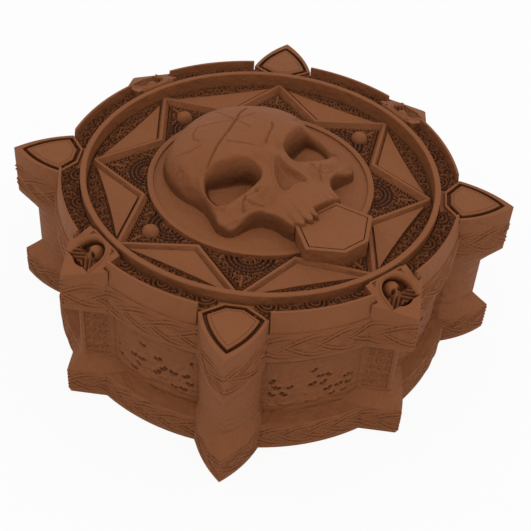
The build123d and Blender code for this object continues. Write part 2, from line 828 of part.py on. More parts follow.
with BuildPart() as tray_dividers:
    with BuildSketch(Plane.XY.offset(tray_floor_top)):
        with PolarLocations(tray_radius / 2, divider_count, start_angle=-90):
            Rectangle(tray_radius, divider_thickness)
        Circle(tray_radius - tray_wall - bond_gap, mode=Mode.INTERSECT)
        Circle(finger_hole_radius + tray_wall + bond_gap, mode=Mode.SUBTRACT)
    extrude(amount=tray_depth - divider_drop)
parts["tray_dividers"] = tray_dividers.part

# ---- Files ----

os.makedirs("parts", exist_ok=True)
for name, piece in parts.items():
    piece.label = name
    export_step(piece, "parts/" + name + ".step")
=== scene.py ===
"""Dresses the dice storage chest: carved head, filigree, knotwork, niche heads, felt and finishes."""

from __future__ import annotations

import json
import logging
import math
from dataclasses import dataclass, field
from enum import Enum
from typing import Any, Callable, ClassVar, Iterable, Sequence

import bmesh
import bpy
import numpy as np
from mathutils import Matrix, Vector

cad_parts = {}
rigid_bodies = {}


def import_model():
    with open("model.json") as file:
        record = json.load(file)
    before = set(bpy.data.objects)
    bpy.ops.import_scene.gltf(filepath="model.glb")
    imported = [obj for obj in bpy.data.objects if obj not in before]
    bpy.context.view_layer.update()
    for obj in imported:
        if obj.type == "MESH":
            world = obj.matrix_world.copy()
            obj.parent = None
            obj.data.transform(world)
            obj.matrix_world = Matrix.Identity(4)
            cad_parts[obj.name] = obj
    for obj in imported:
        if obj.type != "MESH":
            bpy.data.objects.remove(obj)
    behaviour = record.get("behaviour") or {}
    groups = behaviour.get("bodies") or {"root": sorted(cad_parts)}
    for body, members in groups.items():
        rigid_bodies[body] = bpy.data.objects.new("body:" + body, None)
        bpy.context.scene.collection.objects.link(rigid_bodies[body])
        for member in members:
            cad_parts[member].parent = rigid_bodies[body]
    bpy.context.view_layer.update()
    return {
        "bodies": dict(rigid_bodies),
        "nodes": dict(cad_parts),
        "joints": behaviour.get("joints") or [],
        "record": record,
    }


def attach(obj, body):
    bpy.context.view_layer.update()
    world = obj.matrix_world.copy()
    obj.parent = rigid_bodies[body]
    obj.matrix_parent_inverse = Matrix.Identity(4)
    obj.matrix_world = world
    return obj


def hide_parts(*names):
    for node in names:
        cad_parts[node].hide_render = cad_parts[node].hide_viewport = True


log = logging.getLogger("dice_chest")

MM = 0.001
Grid = np.ndarray


class Side(Enum):
    """The four sides of the chest, with the direction each faces, in degrees from +X."""

    RIGHT = 0
    BACK = 90
    LEFT = 180
    FRONT = 270


class Corner(Enum):
    """The four corners with a column, with the direction each faces."""

    BACK_RIGHT = 45
    BACK_LEFT = 135
    FRONT_LEFT = 225
    FRONT_RIGHT = 315


class Bay(Enum):
    """The eight fields of wall between the columns and the pilasters."""

    RIGHT_BACK = 22.5
    BACK_RIGHT = 67.5
    BACK_LEFT = 112.5
    LEFT_BACK = 157.5
    LEFT_FRONT = 202.5
    FRONT_LEFT = 247.5
    FRONT_RIGHT = 292.5
    RIGHT_FRONT = 337.5

    @property
    def turns_to_column(self) -> bool:
        """Whether the column is at the end of the bay, counter-clockwise, and not at its start."""
        return (self.value + 22.5) % 90 != 0


# ---------------------------------------------------------------- node graphs


class Value:
    """One output of a node that takes part in Python expressions."""

    def __init__(self, graph: "Graph", socket: bpy.types.NodeSocket) -> None:
        """Keeps the socket and the graph that it belongs to."""
        self.graph = graph
        self.socket = socket

    def _math(self, operation: str, *values: Any) -> "Value":
        """Adds a Math node for one operation on these values."""
        return self.graph.read("ShaderNodeMath", {"operation": operation}, dict(enumerate(values)))

    def __add__(self, other: Any) -> "Value":
        """Sum."""
        return self._math("ADD", self, other)

    def __radd__(self, other: Any) -> "Value":
        """Sum, with the number first."""
        return self._math("ADD", other, self)

    def __sub__(self, other: Any) -> "Value":
        """Difference."""
        return self._math("SUBTRACT", self, other)

    def __rsub__(self, other: Any) -> "Value":
        """Difference, with the number first."""
        return self._math("SUBTRACT", other, self)

    def __mul__(self, other: Any) -> "Value":
        """Product."""
        return self._math("MULTIPLY", self, other)

    def sin(self) -> "Value":
        """Sine, of radians."""
        return self._math("SINE", self)

    def clamp(self) -> "Value":
        """The value held between 0 and 1."""
        return self._math("MINIMUM", self._math("MAXIMUM", self, 0.0), 1.0)


class Graph:
    """Adds nodes to a shader or geometry tree."""

    def __init__(self, tree: bpy.types.NodeTree) -> None:
        """Keeps the tree."""
        self.tree = tree

    def node(
        self,
        kind: str,
        settings: dict[str, Any] | None = None,
        inputs: dict[Any, Any] | None = None,
    ) -> bpy.types.Node:
        """Adds one node.

        Args:
            kind: the node's type.
            settings: its own settings, set first.
            inputs: socket name or index to a number, colour, Value or socket.

        Returns:
            The new node.
        """
        made = self.tree.nodes.new(kind)
        for key, value in (settings or {}).items():
            setattr(made, key, value)
        for key, value in (inputs or {}).items():
            socket = made.inputs[key]
            if isinstance(value, Value):
                self.tree.links.new(value.socket, socket)
            elif isinstance(value, bpy.types.NodeSocket):
                self.tree.links.new(value, socket)
            else:
                socket.default_value = value
        return made

    def read(
        self,
        kind: str,
        settings: dict[str, Any] | None = None,
        inputs: dict[Any, Any] | None = None,
        output: int | str = 0,
    ) -> Value:
        """Adds a node and gives one of its outputs.

        Args:
            kind: the node's type.
            settings: its own settings.
            inputs: what its sockets get.
            output: the output's name or index.

        Returns:
            The output as a Value.
        """
        return Value(self, self.node(kind, settings, inputs).outputs[output])


# ---------------------------------------------------------------- finishes


def linear(red: float, green: float, blue: float) -> tuple[float, float, float, float]:
    """Turns a screen colour, 0 to 255, into the linear colour that shaders use.

    Args:
        red: the red level.
        green: the green level.
        blue: the blue level.

    Returns:
        The linear colour, with a full last part.
    """
    parts = []
    for level in (red, green, blue):
        share = level / 255
        parts.append(share / 12.92 if share <= 0.04045 else ((share + 0.055) / 1.055) ** 2.4)
    return (parts[0], parts[1], parts[2], 1.0)


def shader_graph(name: str) -> tuple[bpy.types.Material, Graph, bpy.types.Node]:
    """Makes an empty material.

    Args:
        name: the material's name.

    Returns:
        The material, its graph and its main shader node.
    """
    material = bpy.data.materials.new(name)
    material.use_nodes = True
    material.node_tree.nodes.clear()
    graph = Graph(material.node_tree)
    shader = graph.node("ShaderNodeBsdfPrincipled")
    graph.node("ShaderNodeOutputMaterial", inputs={"Surface": shader.outputs["BSDF"]})
    return material, graph, shader


@dataclass(frozen=True)
class PrintedBrown:
    """Matte brown print with fine layers and soft mottling; deep places get painted shade, a darker, redder
    colour mixed in.

    Noise scales are in cycles a metre, and pitches and heights in metres.
    """

    name: str
    face: tuple[float, float, float]
    # colour of the painted shade in deep places
    hollow: tuple[float, float, float]
    cloud_scale: float = 42.0
    speck_scale: float = 420.0
    grain_scale: float = 1500.0
    worn_scale: float = 190.0
    drift_scale: float = 48.0
    mottle: float = 0.06
    layer_pitch: float = 0.00025
    layer_bump: float = 0.05
    grain_bump: float = 0.12
    worn_bump: float = 14.0
    line_bump: float = 0.0
    line_pitch: float = 0.0042
    lines_top: float = 0.06
    roughness: float = 0.62
    specular: float = 0.1

    def _noise(
        self, graph: Graph, place: Value, scale: float, detail: float, roughness: float = 0.5
    ) -> Value:
        """Noise on the object's own coordinates."""
        inputs = {"Vector": place, "Scale": scale, "Detail": detail, "Roughness": roughness}
        return graph.read("ShaderNodeTexNoise", inputs=inputs)

    def build(self) -> bpy.types.Material:
        """Makes the material. A mesh attribute, 0 to 1, says how much painted shade darkens a place that
        lies deep.

        Returns:
            The material.
        """
        material, graph, shader = shader_graph(self.name)
        place = graph.read("ShaderNodeTexCoord", output="Object")
        split = graph.node("ShaderNodeSeparateXYZ", inputs={"Vector": place})
        height = Value(graph, split.outputs["Z"])
        cloud = self._noise(graph, place, self.cloud_scale, 4.0)
        grain = self._noise(graph, place, self.grain_scale, 3.0)
        speck = self._noise(graph, place, self.speck_scale, 3.0)
        # painted shade: the mesh's shade attribute, jittered by the specks, mixes the shade colour into the
        # face colour
        depth = graph.read("ShaderNodeAttribute", {"attribute_name": "hollow"}, output="Fac")
        layers = (height * (2 * math.pi / self.layer_pitch)).sin()
        mask = (depth + (speck - 0.5) * 0.12).clamp()
        face_with_painted_shade = graph.read(
            "ShaderNodeMix",
            {"data_type": "RGBA"},
            {"Factor": mask, 6: linear(*self.face), 7: linear(*self.hollow)},
            output=2,
        )
        shade = 1.0 + (cloud - 0.5) * self.mottle * 2 + (speck - 0.5) * self.mottle + layers * 0.008
        colour = graph.read("ShaderNodeVectorMath", {"operation": "SCALE"}, {0: face_with_painted_shade, "Scale": shade})
        drift = self._noise(graph, place, self.drift_scale, 2.0)
        low = ((self.lines_top - height) * 600.0).clamp()
        lines = (height * (2 * math.pi / self.line_pitch) + drift * 22.0).sin() * low * self.line_bump
        worn = self._noise(graph, place, self.worn_scale, 4.0, 0.6)
        relief = lines + worn * self.worn_bump + grain * self.grain_bump + layers * self.layer_bump
        bump = graph.node("ShaderNodeBump", inputs={"Strength": 0.9, "Distance": 0.0001, "Height": relief})
        rough = self.roughness + (speck - 0.5) * 0.12
        graph.tree.links.new(colour.socket, shader.inputs["Base Color"])
        graph.tree.links.new(rough.socket, shader.inputs["Roughness"])
        graph.tree.links.new(bump.outputs["Normal"], shader.inputs["Normal"])
        shader.inputs["Specular IOR Level"].default_value = self.specular
        return material


@dataclass(frozen=True)
class PlatedMetal:
    """Bright metal with fine turning marks, for magnets and pins."""

    name: str
    colour: tuple[float, float, float]
    roughness: float

    def build(self) -> bpy.types.Material:
        """Makes the material.

        Returns:
            The material.
        """
        material, graph, shader = shader_graph(self.name)
        place = graph.read("ShaderNodeTexCoord", output="Object")
        wear = graph.read("ShaderNodeTexNoise", inputs={"Vector": place, "Scale": 900.0, "Detail": 5.0})
        rough = self.roughness + (wear - 0.5) * 0.2
        bump = graph.node("ShaderNodeBump", inputs={"Strength": 0.15, "Distance": 0.00005, "Height": wear})
        graph.tree.links.new(rough.socket, shader.inputs["Roughness"])
        graph.tree.links.new(bump.outputs["Normal"], shader.inputs["Normal"])
        shader.inputs["Base Color"].default_value = linear(*self.colour)
        shader.inputs["Metallic"].default_value = 1.0
        return material


@dataclass(frozen=True)
class FeltCloth:
    """Dense felt with a short nap and loose fibres."""

    name: str
    colour: tuple[float, float, float]
    fibre: tuple[float, float, float]

    def build(self) -> bpy.types.Material:
        """Makes the material.

        Returns:
            The material.
        """
        material, graph, shader = shader_graph(self.name)
        place = graph.read("ShaderNodeTexCoord", output="Object")
        nap = graph.read("ShaderNodeTexNoise", inputs={"Vector": place, "Scale": 700.0, "Detail": 6.0})
        cloud = graph.read("ShaderNodeTexNoise", inputs={"Vector": place, "Scale": 60.0, "Detail": 3.0})
        colour = graph.read(
            "ShaderNodeMix",
            {"data_type": "RGBA"},
            {"Factor": (nap * 0.7 + cloud * 0.3).clamp(), 6: linear(*self.colour), 7: linear(*self.fibre)},
            output=2,
        )
        bump = graph.node("ShaderNodeBump", inputs={"Strength": 0.6, "Distance": 0.0003, "Height": nap})
        graph.tree.links.new(colour.socket, shader.inputs["Base Color"])
        graph.tree.links.new(bump.outputs["Normal"], shader.inputs["Normal"])
        shader.inputs["Roughness"].default_value = 0.95
        shader.inputs["Sheen Weight"].default_value = 0.4
        return material


@dataclass
class Palette:
    """All finishes of the chest."""

    face: bpy.types.Material = field(init=False)
    carved: bpy.types.Material = field(init=False)
    inside: bpy.types.Material = field(init=False)
    felt: bpy.types.Material = field(init=False)
    magnet: bpy.types.Material = field(init=False)
    pin: bpy.types.Material = field(init=False)

    def __post_init__(self) -> None:
        """Builds each finish once."""
        # The second colour of each brown is the painted shade of its deep places.
        self.face = PrintedBrown("printed_brown", (130, 79, 48), (62, 27, 7), line_bump=1.8).build()
        self.carved = PrintedBrown("carved_brown", (134, 80, 46), (44, 17, 5), mottle=0.1).build()
        self.inside = PrintedBrown("tray_brown", (126, 77, 47), (70, 34, 14)).build()
        self.felt = FeltCloth("lining_felt", (58, 20, 18), (92, 38, 32)).build()
        self.magnet = PlatedMetal("nickel", (205, 203, 198), 0.22).build()
        self.pin = PlatedMetal("ground_steel", (180, 181, 184), 0.32).build()


# ---------------------------------------------------------------- meshes


def painted_shade_attribute(mesh: bpy.types.Mesh, values: Iterable[float]) -> None:
    """Writes the painted-shade attribute of a mesh, one value for each vertex."""
    layer = mesh.attributes.new("hollow", "FLOAT", "POINT")
    layer.data.foreach_set("value", np.asarray(list(values), dtype=np.float32))


@dataclass(frozen=True)
class Role:
    """What a piece is in the frame: its slot, the body it rides, and the solid it stands for."""

    slot: str
    body: str
    stands_for: str | None = None


def face_outward(mesh: bpy.types.Mesh) -> None:
    """Turns every face of a closed mesh outwards.

    Args:
        mesh: the mesh.
    """
    work = bmesh.new()
    work.from_mesh(mesh)
    bmesh.ops.recalc_face_normals(work, faces=work.faces)
    work.to_mesh(mesh)
    work.free()


def settle(mesh: bpy.types.Mesh, role: Role) -> bpy.types.Object:
    """Makes the object of a finished mesh, hides the solid it stands for and sets it on its body.

    Args:
        mesh: the mesh, which also names the object.
        role: what the piece is in the frame.

    Returns:
        The object.
    """
    made = bpy.data.objects.new(mesh.name, mesh)
    bpy.context.scene.collection.objects.link(made)
    if role.stands_for:
        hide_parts(role.stands_for)
    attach(made, role.body)
    return made


def carved_slab(
    name: str,
    top: Grid,
    foot: Grid,
    hollow: Grid,
    material: bpy.types.Material,
    role: Role,
    sharp: float = 60.0,
) -> bpy.types.Object:
    """Makes a closed slab from a grid of surface points.

    Args:
        name: the object's name.
        top: the carved surface, n by m by 3, in millimetres.
        foot: the underside along the two long edges, n by 2 by 3, in millimetres.
        hollow: painted shade of each surface point, darker where it lies deep, n by m, 0 to 1.
        material: the finish.
        role: what the piece is in the frame.
        sharp: edges steeper than this many degrees stay crisp.

    Returns:
        The object, with its place in its mesh.
    """
    rows, columns = top.shape[:2]
    points = np.concatenate([top.reshape(-1, 3), foot[:, 0], foot[:, 1]]) * MM
    index = np.arange(rows * columns).reshape(rows, columns)
    left = rows * columns + np.arange(rows)
    right = left + rows
    faces = np.stack([index[:-1, :-1], index[1:, :-1], index[1:, 1:], index[:-1, 1:]], -1).reshape(-1, 4)
    skirts = [
        np.stack([index[:-1, 0], left[:-1], left[1:], index[1:, 0]], -1),
        np.stack([index[:-1, -1], index[1:, -1], right[1:], right[:-1]], -1),
        np.stack([left[:-1], right[:-1], right[1:], left[1:]], -1),
    ]
    quads = np.concatenate([faces, *skirts]).tolist()
    quads.append([*index[0].tolist(), int(right[0]), int(left[0])])
    quads.append([*index[-1, ::-1].tolist(), int(left[-1]), int(right[-1])])
    mesh = bpy.data.meshes.new(name)
    mesh.from_pydata(points.tolist(), [], quads)
    # painted shade on the carved surface; none on the underside
    painted_shade_attribute(mesh, np.concatenate([hollow.ravel(), np.zeros(2 * rows)]))
    face_outward(mesh)
    mesh.shade_smooth()
    mesh.set_sharp_from_angle(angle=math.radians(sharp))
    mesh.materials.append(material)
    return settle(mesh, role)


def turned(across: Grid, along: Grid, height: Grid, degrees: float) -> Grid:
    """Stacks plan coordinates and heights, turned about the chest's axis.

    Args:
        across: X of each point.
        along: Y of each point.
        height: Z of each point.
        degrees: the turn, counter-clockwise.

    Returns:
        The points, with a last axis of 3.
    """
    turn = math.radians(degrees)
    plan_x = across * math.cos(turn) - along * math.sin(turn)
    plan_y = across * math.sin(turn) + along * math.cos(turn)
    return np.stack(np.broadcast_arrays(plan_x, plan_y, height), -1)


def ringed(radial: Grid, turn: Grid, height: Grid, degrees: float) -> Grid:
    """Points at these distances from the axis and angles in radians, turned by some degrees."""
    return turned(radial * np.cos(turn), radial * np.sin(turn), height, degrees)


# ---------------------------------------------------------------- carving patterns


def step(edge_low: float, edge_high: float, value: Grid) -> Grid:
    """Goes smoothly from 0 at the low edge to 1 at the high edge."""
    share = np.clip((value - edge_low) / (edge_high - edge_low), 0, 1)
    return share * share * (3 - 2 * share)


def lattice_noise(across: Grid, along: Grid, cell: float, seed: int) -> Grid:
    """Soft noise, -1 to 1.

    Args:
        across: first coordinate, millimetres.
        along: second coordinate, millimetres.
        cell: size of one cell, millimetres.
        seed: fixed seed.

    Returns:
        The noise at each point.
    """
    table = np.random.default_rng(seed).uniform(-1, 1, (256, 256))
    column, row = np.floor(across / cell).astype(int), np.floor(along / cell).astype(int)
    right, up = across / cell - column, along / cell - row
    right, up = right * right * (3 - 2 * right), up * up * (3 - 2 * up)
    left_column, right_column = column % 256, (column + 1) % 256
    near = table[row % 256, left_column] * (1 - right) + table[row % 256, right_column] * right
    above = (row + 1) % 256
    far = table[above, left_column] * (1 - right) + table[above, right_column] * right
    return near * (1 - up) + far * up


def line_distance(across: Grid, along: Grid, line: Sequence[tuple[float, float]]) -> Grid:
    """Distance from each point to a line of straight runs.

    Args:
        across: the points' first measure.
        along: the points' second measure.
        line: the corners of the line.

    Returns:
        The distances.
    """
    best = np.full(across.shape, 1e9)
    for (x0, y0), (x1, y1) in zip(line[:-1], line[1:]):
        run_x, run_y = x1 - x0, y1 - y0
        share = np.clip(((across - x0) * run_x + (along - y0) * run_y) / (run_x**2 + run_y**2), 0, 1)
        best = np.minimum(best, np.hypot(across - x0 - share * run_x, along - y0 - share * run_y))
    return best


def inside_distance(across: Grid, along: Grid, outline: Sequence[tuple[float, float]]) -> Grid:
    """Distance to a closed outline, positive inside it.

    Args:
        across: the points' first measure.
        along: the points' second measure.
        outline: the corners of the outline.

    Returns:
        The distances.
    """
    ring = list(outline) + [outline[0]]
    crossings = np.zeros(across.shape, dtype=int)
    for (x0, y0), (x1, y1) in zip(ring[:-1], ring[1:]):
        spans = (along >= min(y0, y1)) & (along < max(y0, y1))
        meets = x0 + (along - y0) * (x1 - x0) / (y1 - y0 if y1 != y0 else 1)
        crossings += spans & (across < meets)
    return np.where(crossings % 2 == 1, 1, -1) * line_distance(across, along, ring)


def rounded(outline: Sequence[tuple[float, float]], passes: int = 3) -> list[tuple[float, float]]:
    """Cuts the corners of a closed outline again and again until it is a smooth curve.

    Args:
        outline: the corners of the outline.
        passes: how often its corners are cut.

    Returns:
        The corners of the smooth curve.
    """
    points = np.array(outline, dtype=float)
    for _ in range(passes):
        following = np.roll(points, -1, axis=0)
        pairs = [points * 0.75 + following * 0.25, points * 0.25 + following * 0.75]
        points = np.stack(pairs, 1).reshape(-1, 2)
    return [tuple(point) for point in points]


def softened(grid: Grid, reach: float, pitch: float) -> Grid:
    """Blurs a grid of heights.

    Args:
        grid: the heights.
        reach: how far the blur goes, millimetres.
        pitch: distance between grid points, millimetres.

    Returns:
        The blurred heights.
    """
    count = int(3 * reach / pitch)
    weights = np.exp(-0.5 * (np.arange(-count, count + 1) * pitch / reach) ** 2)
    weights /= weights.sum()
    padded = np.pad(grid, count, mode="edge")
    padded = sum(w * padded[:, k : k + grid.shape[1]] for k, w in enumerate(weights))
    return sum(w * padded[k : k + grid.shape[0]] for k, w in enumerate(weights))


def scrolls(across: Grid, along: Grid, cell: float, pitch: float, seed: int) -> Grid:
    """Tight scrollwork: each cell holds one spiral thread, and ridges part the cells.

    Args:
        across: first coordinate, millimetres.
        along: second coordinate, millimetres.
        cell: size of one scroll, millimetres.
        pitch: distance between the turns of a thread, millimetres.
        seed: fixed seed.

    Returns:
        Height, 0 in the ground to 1 on a thread.
    """
    chance = np.random.default_rng(seed)
    shift = chance.uniform(-0.32, 0.32, (64, 64, 2))
    start = chance.uniform(0, 2 * math.pi, (64, 64))
    hand = chance.choice([-1.0, 1.0], (64, 64))
    column, row = np.floor(across / cell).astype(int), np.floor(along / cell).astype(int)
    near, second = np.full(across.shape, 1e9), np.full(across.shape, 1e9)
    phase = np.zeros(across.shape)
    for down in (-1, 0, 1):
        for over in (-1, 0, 1):
            pick_x, pick_y = (column + over) % 64, (row + down) % 64
            middle_x = (column + over + 0.5 + shift[pick_y, pick_x, 0]) * cell
            middle_y = (row + down + 0.5 + shift[pick_y, pick_x, 1]) * cell
            reach = np.hypot(across - middle_x, along - middle_y)
            turn = np.arctan2(along - middle_y, across - middle_x) * hand[pick_y, pick_x]
            closer = reach < near
            second = np.where(closer, near, np.minimum(second, reach))
            phase = np.where(closer, reach / pitch * 2 * math.pi + turn + start[pick_y, pick_x], phase)
            near = np.where(closer, reach, near)
    thread = np.clip(0.3 + 0.85 * np.cos(phase), 0, 1)
    border = 1 - step(0.0, pitch * 0.55, second - near)
    return np.maximum(thread, border)


# ---------------------------------------------------------------- carved head


@dataclass
class CarvedHead:
    """The skull on the lid, as one carved surface that rises from the disc.

    Sizes are in millimetres. Heights are above the disc. The left and the right half are alike,
    apart from the cracks.
    """

    base: float = 67.2
    disc: float = 46.5
    pitch: float = 0.3
    tooth_pitch: float = 3.7
    socket_floor: float = 4.6
    buried: float = 3.0
    outline: list[tuple[float, float]] = field(
        default_factory=lambda: [
            (0, 42.4), (8, 41.8), (15, 39.4), (21, 36), (26, 32), (30.2, 27), (33.2, 20.5), (34.5, 12.5),
            (33.9, 6), (31.9, 0), (31.7, -6), (33.4, -12), (34.8, -16.8), (32.2, -21.8), (27, -22.0),
            (22, -21.4), (18, -23), (15.6, -26), (14.4, -30), (14, -34), (12.8, -37.6), (8, -39.2),
            (0, -39.6),
        ]
    )
    socket: list[tuple[float, float]] = field(
        default_factory=lambda: [
            (6.9, -6.2), (8.0, -2.6), (12.2, 0.0), (17.4, 1.6), (23.3, 3.6), (26.0, 4.2), (28.6, 0.6),
            (29.8, -3.4), (29.4, -8.6), (27.0, -11.4), (22.4, -11.8), (16.6, -11.9), (11.0, -11.4),
            (7.6, -9.6),
        ]
    )
    nose: list[tuple[float, float]] = field(
        default_factory=lambda: [
            (0, -8.0), (2.4, -9.6), (5.0, -14.6), (6.9, -20.4), (4.6, -22.4), (1.4, -21.0), (0, -21.6),
            (-1.4, -21.0), (-4.6, -22.4), (-6.9, -20.4), (-5.0, -14.6), (-2.4, -9.6),
        ]
    )
    cracks: list[tuple[float, float, list[tuple[float, float]]]] = field(
        default_factory=lambda: [
            (0.42, 0.75, [(10.3, 24.8), (4.6, 22.0), (0.0, 18.4), (-6.8, 14.2), (-16, 9.6), (-24.4, 4.7)]),
            (0.34, 0.4, [(0.4, 31.6), (-0.6, 24.0), (0.0, 18.4), (1.4, 10.6)]),
            (0.34, 0.4, [(-13.4, 26.4), (-6.0, 21.6), (0.0, 18.4), (4.4, 18.9), (9.8, 18.4)]),
            (0.34, 0.55, [(-11.4, 9.2), (-8.2, 5.8), (-3.6, 1.6)]),
            (0.34, 0.5, [(-14.2, 26.0), (-17.4, 24.0), (-19.2, 20.8), (-18.6, 17.2)]),
            (0.4, 0.6, [(11.8, 9.4), (9.8, 6.6), (6.4, 4.4), (2.2, 1.4)]),
            (0.34, 0.45, [(-28.2, 20.4), (-24.4, 16.6), (-20.0, 15.0)]),
            (0.4, 0.6, [(-19.0, -13.6), (-21.6, -15.4), (-23.4, -18.6)]),
            (0.4, 0.6, [(-20.4, -14.6), (-18.4, -17.6), (-15.2, -20.4)]),
            (0.36, 0.5, [(18.6, -15.2), (15.8, -17.4), (13.8, -21.2)]),
            (0.36, 0.45, [(24.0, 8.4), (28.0, 12.0), (29.6, 16.8)]),
            (
                0.36,
                0.5,
                [(-32.4, 10.2), (-30.9, 12.0), (-31.0, 14.2), (-32.8, 15.0), (-33.6, 13.4), (-32.4, 12.6)],
            ),
            (0.3, 0.4, [(14.6, -16.0), (17.4, -18.6), (20.2, -18.9)]),
            (0.3, 0.4, [(-12.2, -14.0), (-15.6, -14.9), (-19.0, -13.6)]),
        ]
    )

    def _rough(self, across: Grid, along: Grid) -> Grid:
        """The plain rise of the head, before any feature is cut.

        Args:
            across: distance from the middle plane.
            along: Y of each point.

        Returns:
            Height above the disc.
        """
        places = [0, 5, 10, 15, 20, 25, 30, 35]
        sections = {
            44: (5, 5, 4, 2, 0, 0, 0, 0),
            41.5: (8, 7.8, 6.6, 4.4, 1.5, 0, 0, 0),
            39: (10.6, 10.4, 9.0, 6.8, 4, 1.5, 0, 0),
            35.5: (13.6, 13.4, 12.2, 10.4, 8.0, 5, 2, 0),
            30: (16.8, 16.6, 15.8, 14.4, 12.2, 9.2, 5.5, 2.5),
            24: (18.8, 18.7, 18.1, 17.0, 15.2, 12.6, 8.8, 5),
            19: (19.7, 19.6, 19.1, 18.2, 16.6, 14.4, 10.8, 6.5),
            12: (20.4, 20.3, 19.9, 19.1, 17.8, 15.4, 12.0, 7.4),
            6: (19.9, 19.9, 19.6, 18.9, 17.4, 13.8, 9.6, 5),
            2: (18.9, 18.8, 18.4, 17.8, 16.2, 12.2, 7.8, 3.8),
            -2: (18.2, 17.6, 16.8, 16.0, 14.2, 10.2, 6.2, 3),
            -6: (18.3, 16.0, 14.2, 13.2, 11.4, 8.6, 5.2, 3),
            -9: (18.5, 14.6, 12.4, 11.2, 9.5, 7.2, 4.9, 3.4),
            -12: (16.6, 13.4, 11.8, 10.6, 9.0, 7.6, 6.2, 4.6),
            -15: (14.8, 12.8, 11.3, 10.2, 8.8, 7.6, 6.0, 4.2),
            -18: (13.6, 12.4, 10.9, 9.4, 8.0, 6.8, 5.0, 3.4),
            -21: (12.9, 12.0, 10.4, 8.6, 6.9, 5.6, 3.9, 2.6),
            -25: (12.0, 11.3, 9.8, 7.6, 5.0, 3.5, 2.4, 1),
            -30: (11.0, 10.5, 9.2, 7.0, 4, 2, 1, 0),
            -35: (9.8, 9.5, 8.6, 6.6, 4, 2, 1, 0),
            -41: (8.4, 8.2, 7.6, 6.0, 4, 2, 1, 0),
        }
        rows = sorted(sections)
        columns = np.array([sections[row] for row in rows])
        stops = np.stack([np.interp(across[0], places, row) for row in columns])
        rough = np.stack([np.interp(along[:, 0], rows, stops[:, k]) for k in range(stops.shape[1])], 1)
        return softened(rough, 1.5, self.pitch)

    def _features(self, side: Grid, plan_y: Grid, height: Grid) -> Grid:
        """Adds brow, nose bone, cheek bones, hollows and tooth roots to the rough head.

        Args:
            side: distance from the middle plane.
            plan_y: Y of each point.
            height: the rough heights.

        Returns:
            The height with these features.
        """
        ridges = [
            (0.8, 2.2, [(5, 0.8), (10, 2.2), (17, 3.6), (23, 5.4)]),
            (1.0, 2.3, [(0, -1.5), (0, -8.8)]),
            (1.5, 2.4, [(10.5, -14.6), (18, -15.4), (25, -15.2), (31, -12.6)]),
            (1.5, 0.9, [(28.6, 4.4), (30.2, 0.4), (30.6, -4.0), (30.6, -9.5), (29.4, -13.0)]),
            (1.2, 1.5, [(32, -18.0), (27, -19.2), (22, -19.8), (17.5, -21.8)]),
        ]
        for rise, reach, line in ridges:
            height = height + rise * np.exp(-((line_distance(side, plan_y, line) / reach) ** 2))
        dents = [
            (3.2, 33.2, 1.7, 2.5, 6.0),
            (1.6, 12.6, 3.0, -19.0, 3.4),
            (0.9, 0.0, 5.0, 0.8, 2.0),
            (0.8, 22.5, 4.0, -17.4, 1.4),
            (1.0, 6.0, 1.6, -3.0, 3.0),
        ]
        for depth, place_x, reach_x, place_y, reach_y in dents:
            away = ((side - place_x) / reach_x) ** 2 + ((plan_y - place_y) / reach_y) ** 2
            height = height - depth * np.exp(-away)
        height = height - 0.9 * (1 - step(0.5, 1.2, np.hypot(side - 14.2, plan_y + 14.4)))
        gap = np.abs(side / self.tooth_pitch - np.round(side / self.tooth_pitch)) * self.tooth_pitch
        row = 1 - step(11.6, 12.8, side)
        strong = 0.12 + 0.88 * np.clip(side / 9, 0, 1)
        flute = step(-25.0, -33.0, plan_y) * row * strong
        height = height - 0.7 * flute * (1 - step(0.0, 0.9, gap))
        return height - 0.9 * step(-34.0, -36.5, plan_y) * row * (1 - step(0.1, 0.5, gap))

    def _eyes_and_nose(self, plan_x: Grid, plan_y: Grid, height: Grid) -> tuple[Grid, Grid]:
        """Cuts the eye sockets and the nose, each with a raised rim.

        Args:
            plan_x: X of each point.
            plan_y: Y of each point.
            height: the heights so far.

        Returns:
            The height, and painted shade in the eye sockets, temple hollows and nose pit, 0 to 1.
        """
        side = np.abs(plan_x)
        eye = inside_distance(side, plan_y, rounded(self.socket, 2))
        height = height + 0.55 * np.exp(-(((eye + 0.9) / 0.9) ** 2))
        sink = step(-0.25, 1.25, eye)
        height = height * (1 - sink) + np.minimum(height, self.socket_floor) * sink
        # painted shade on the socket walls, fading out across the socket floor
        hollow = 0.85 * step(0.0, 1.0, eye) * (1 - 0.95 * step(1.2, 2.6, eye))
        pit = inside_distance(plan_x, plan_y, rounded(self.nose, 2))
        depth = np.interp(plan_y, [-22, -19, -14, -9], [0.9, 1.7, 2.6, 3.2])
        vomer = 0.7 * np.exp(-((side / 0.8) ** 2)) * step(-21.0, -14.0, plan_y)
        height += 0.5 * np.exp(-(((pit + 0.5) / 0.6) ** 2))
        height -= (depth - vomer) * step(-0.15, 1.0, pit)
        # painted shade in the temple hollow
        temple = np.exp(-(((side - 33.2) / 1.8) ** 2) - ((plan_y - 2.0) / 6.5) ** 2)
        hollow = np.maximum(hollow, 0.5 * temple)
        # painted shade in the nose pit
        return height, np.maximum(hollow, 0.2 * step(0.1, 1.2, pit))

    def _edge(self, plan_x: Grid, plan_y: Grid) -> Grid:
        """Distance to the head's edge, positive inside it.

        Args:
            plan_x: X of each point.
            plan_y: Y of each point.

        Returns:
            The distance. On the left half the teeth bite over the plaque.
        """
        half = self.outline
        whole = rounded(half + [(-x, y) for x, y in reversed(half[1:-1])], 2)
        side = np.abs(plan_x)
        near_gap = 1 - 2 * np.abs(side / self.tooth_pitch - np.round(side / self.tooth_pitch))
        tips = 2.6 * near_gap**2 * step(-33.5, -36.5, plan_y)
        edge = inside_distance(plan_x, plan_y, whole) - tips
        return np.minimum(edge, plan_y - np.interp(plan_x, [-2.6, -1.2, 12], [-41.0, -34.6, -34.2]))

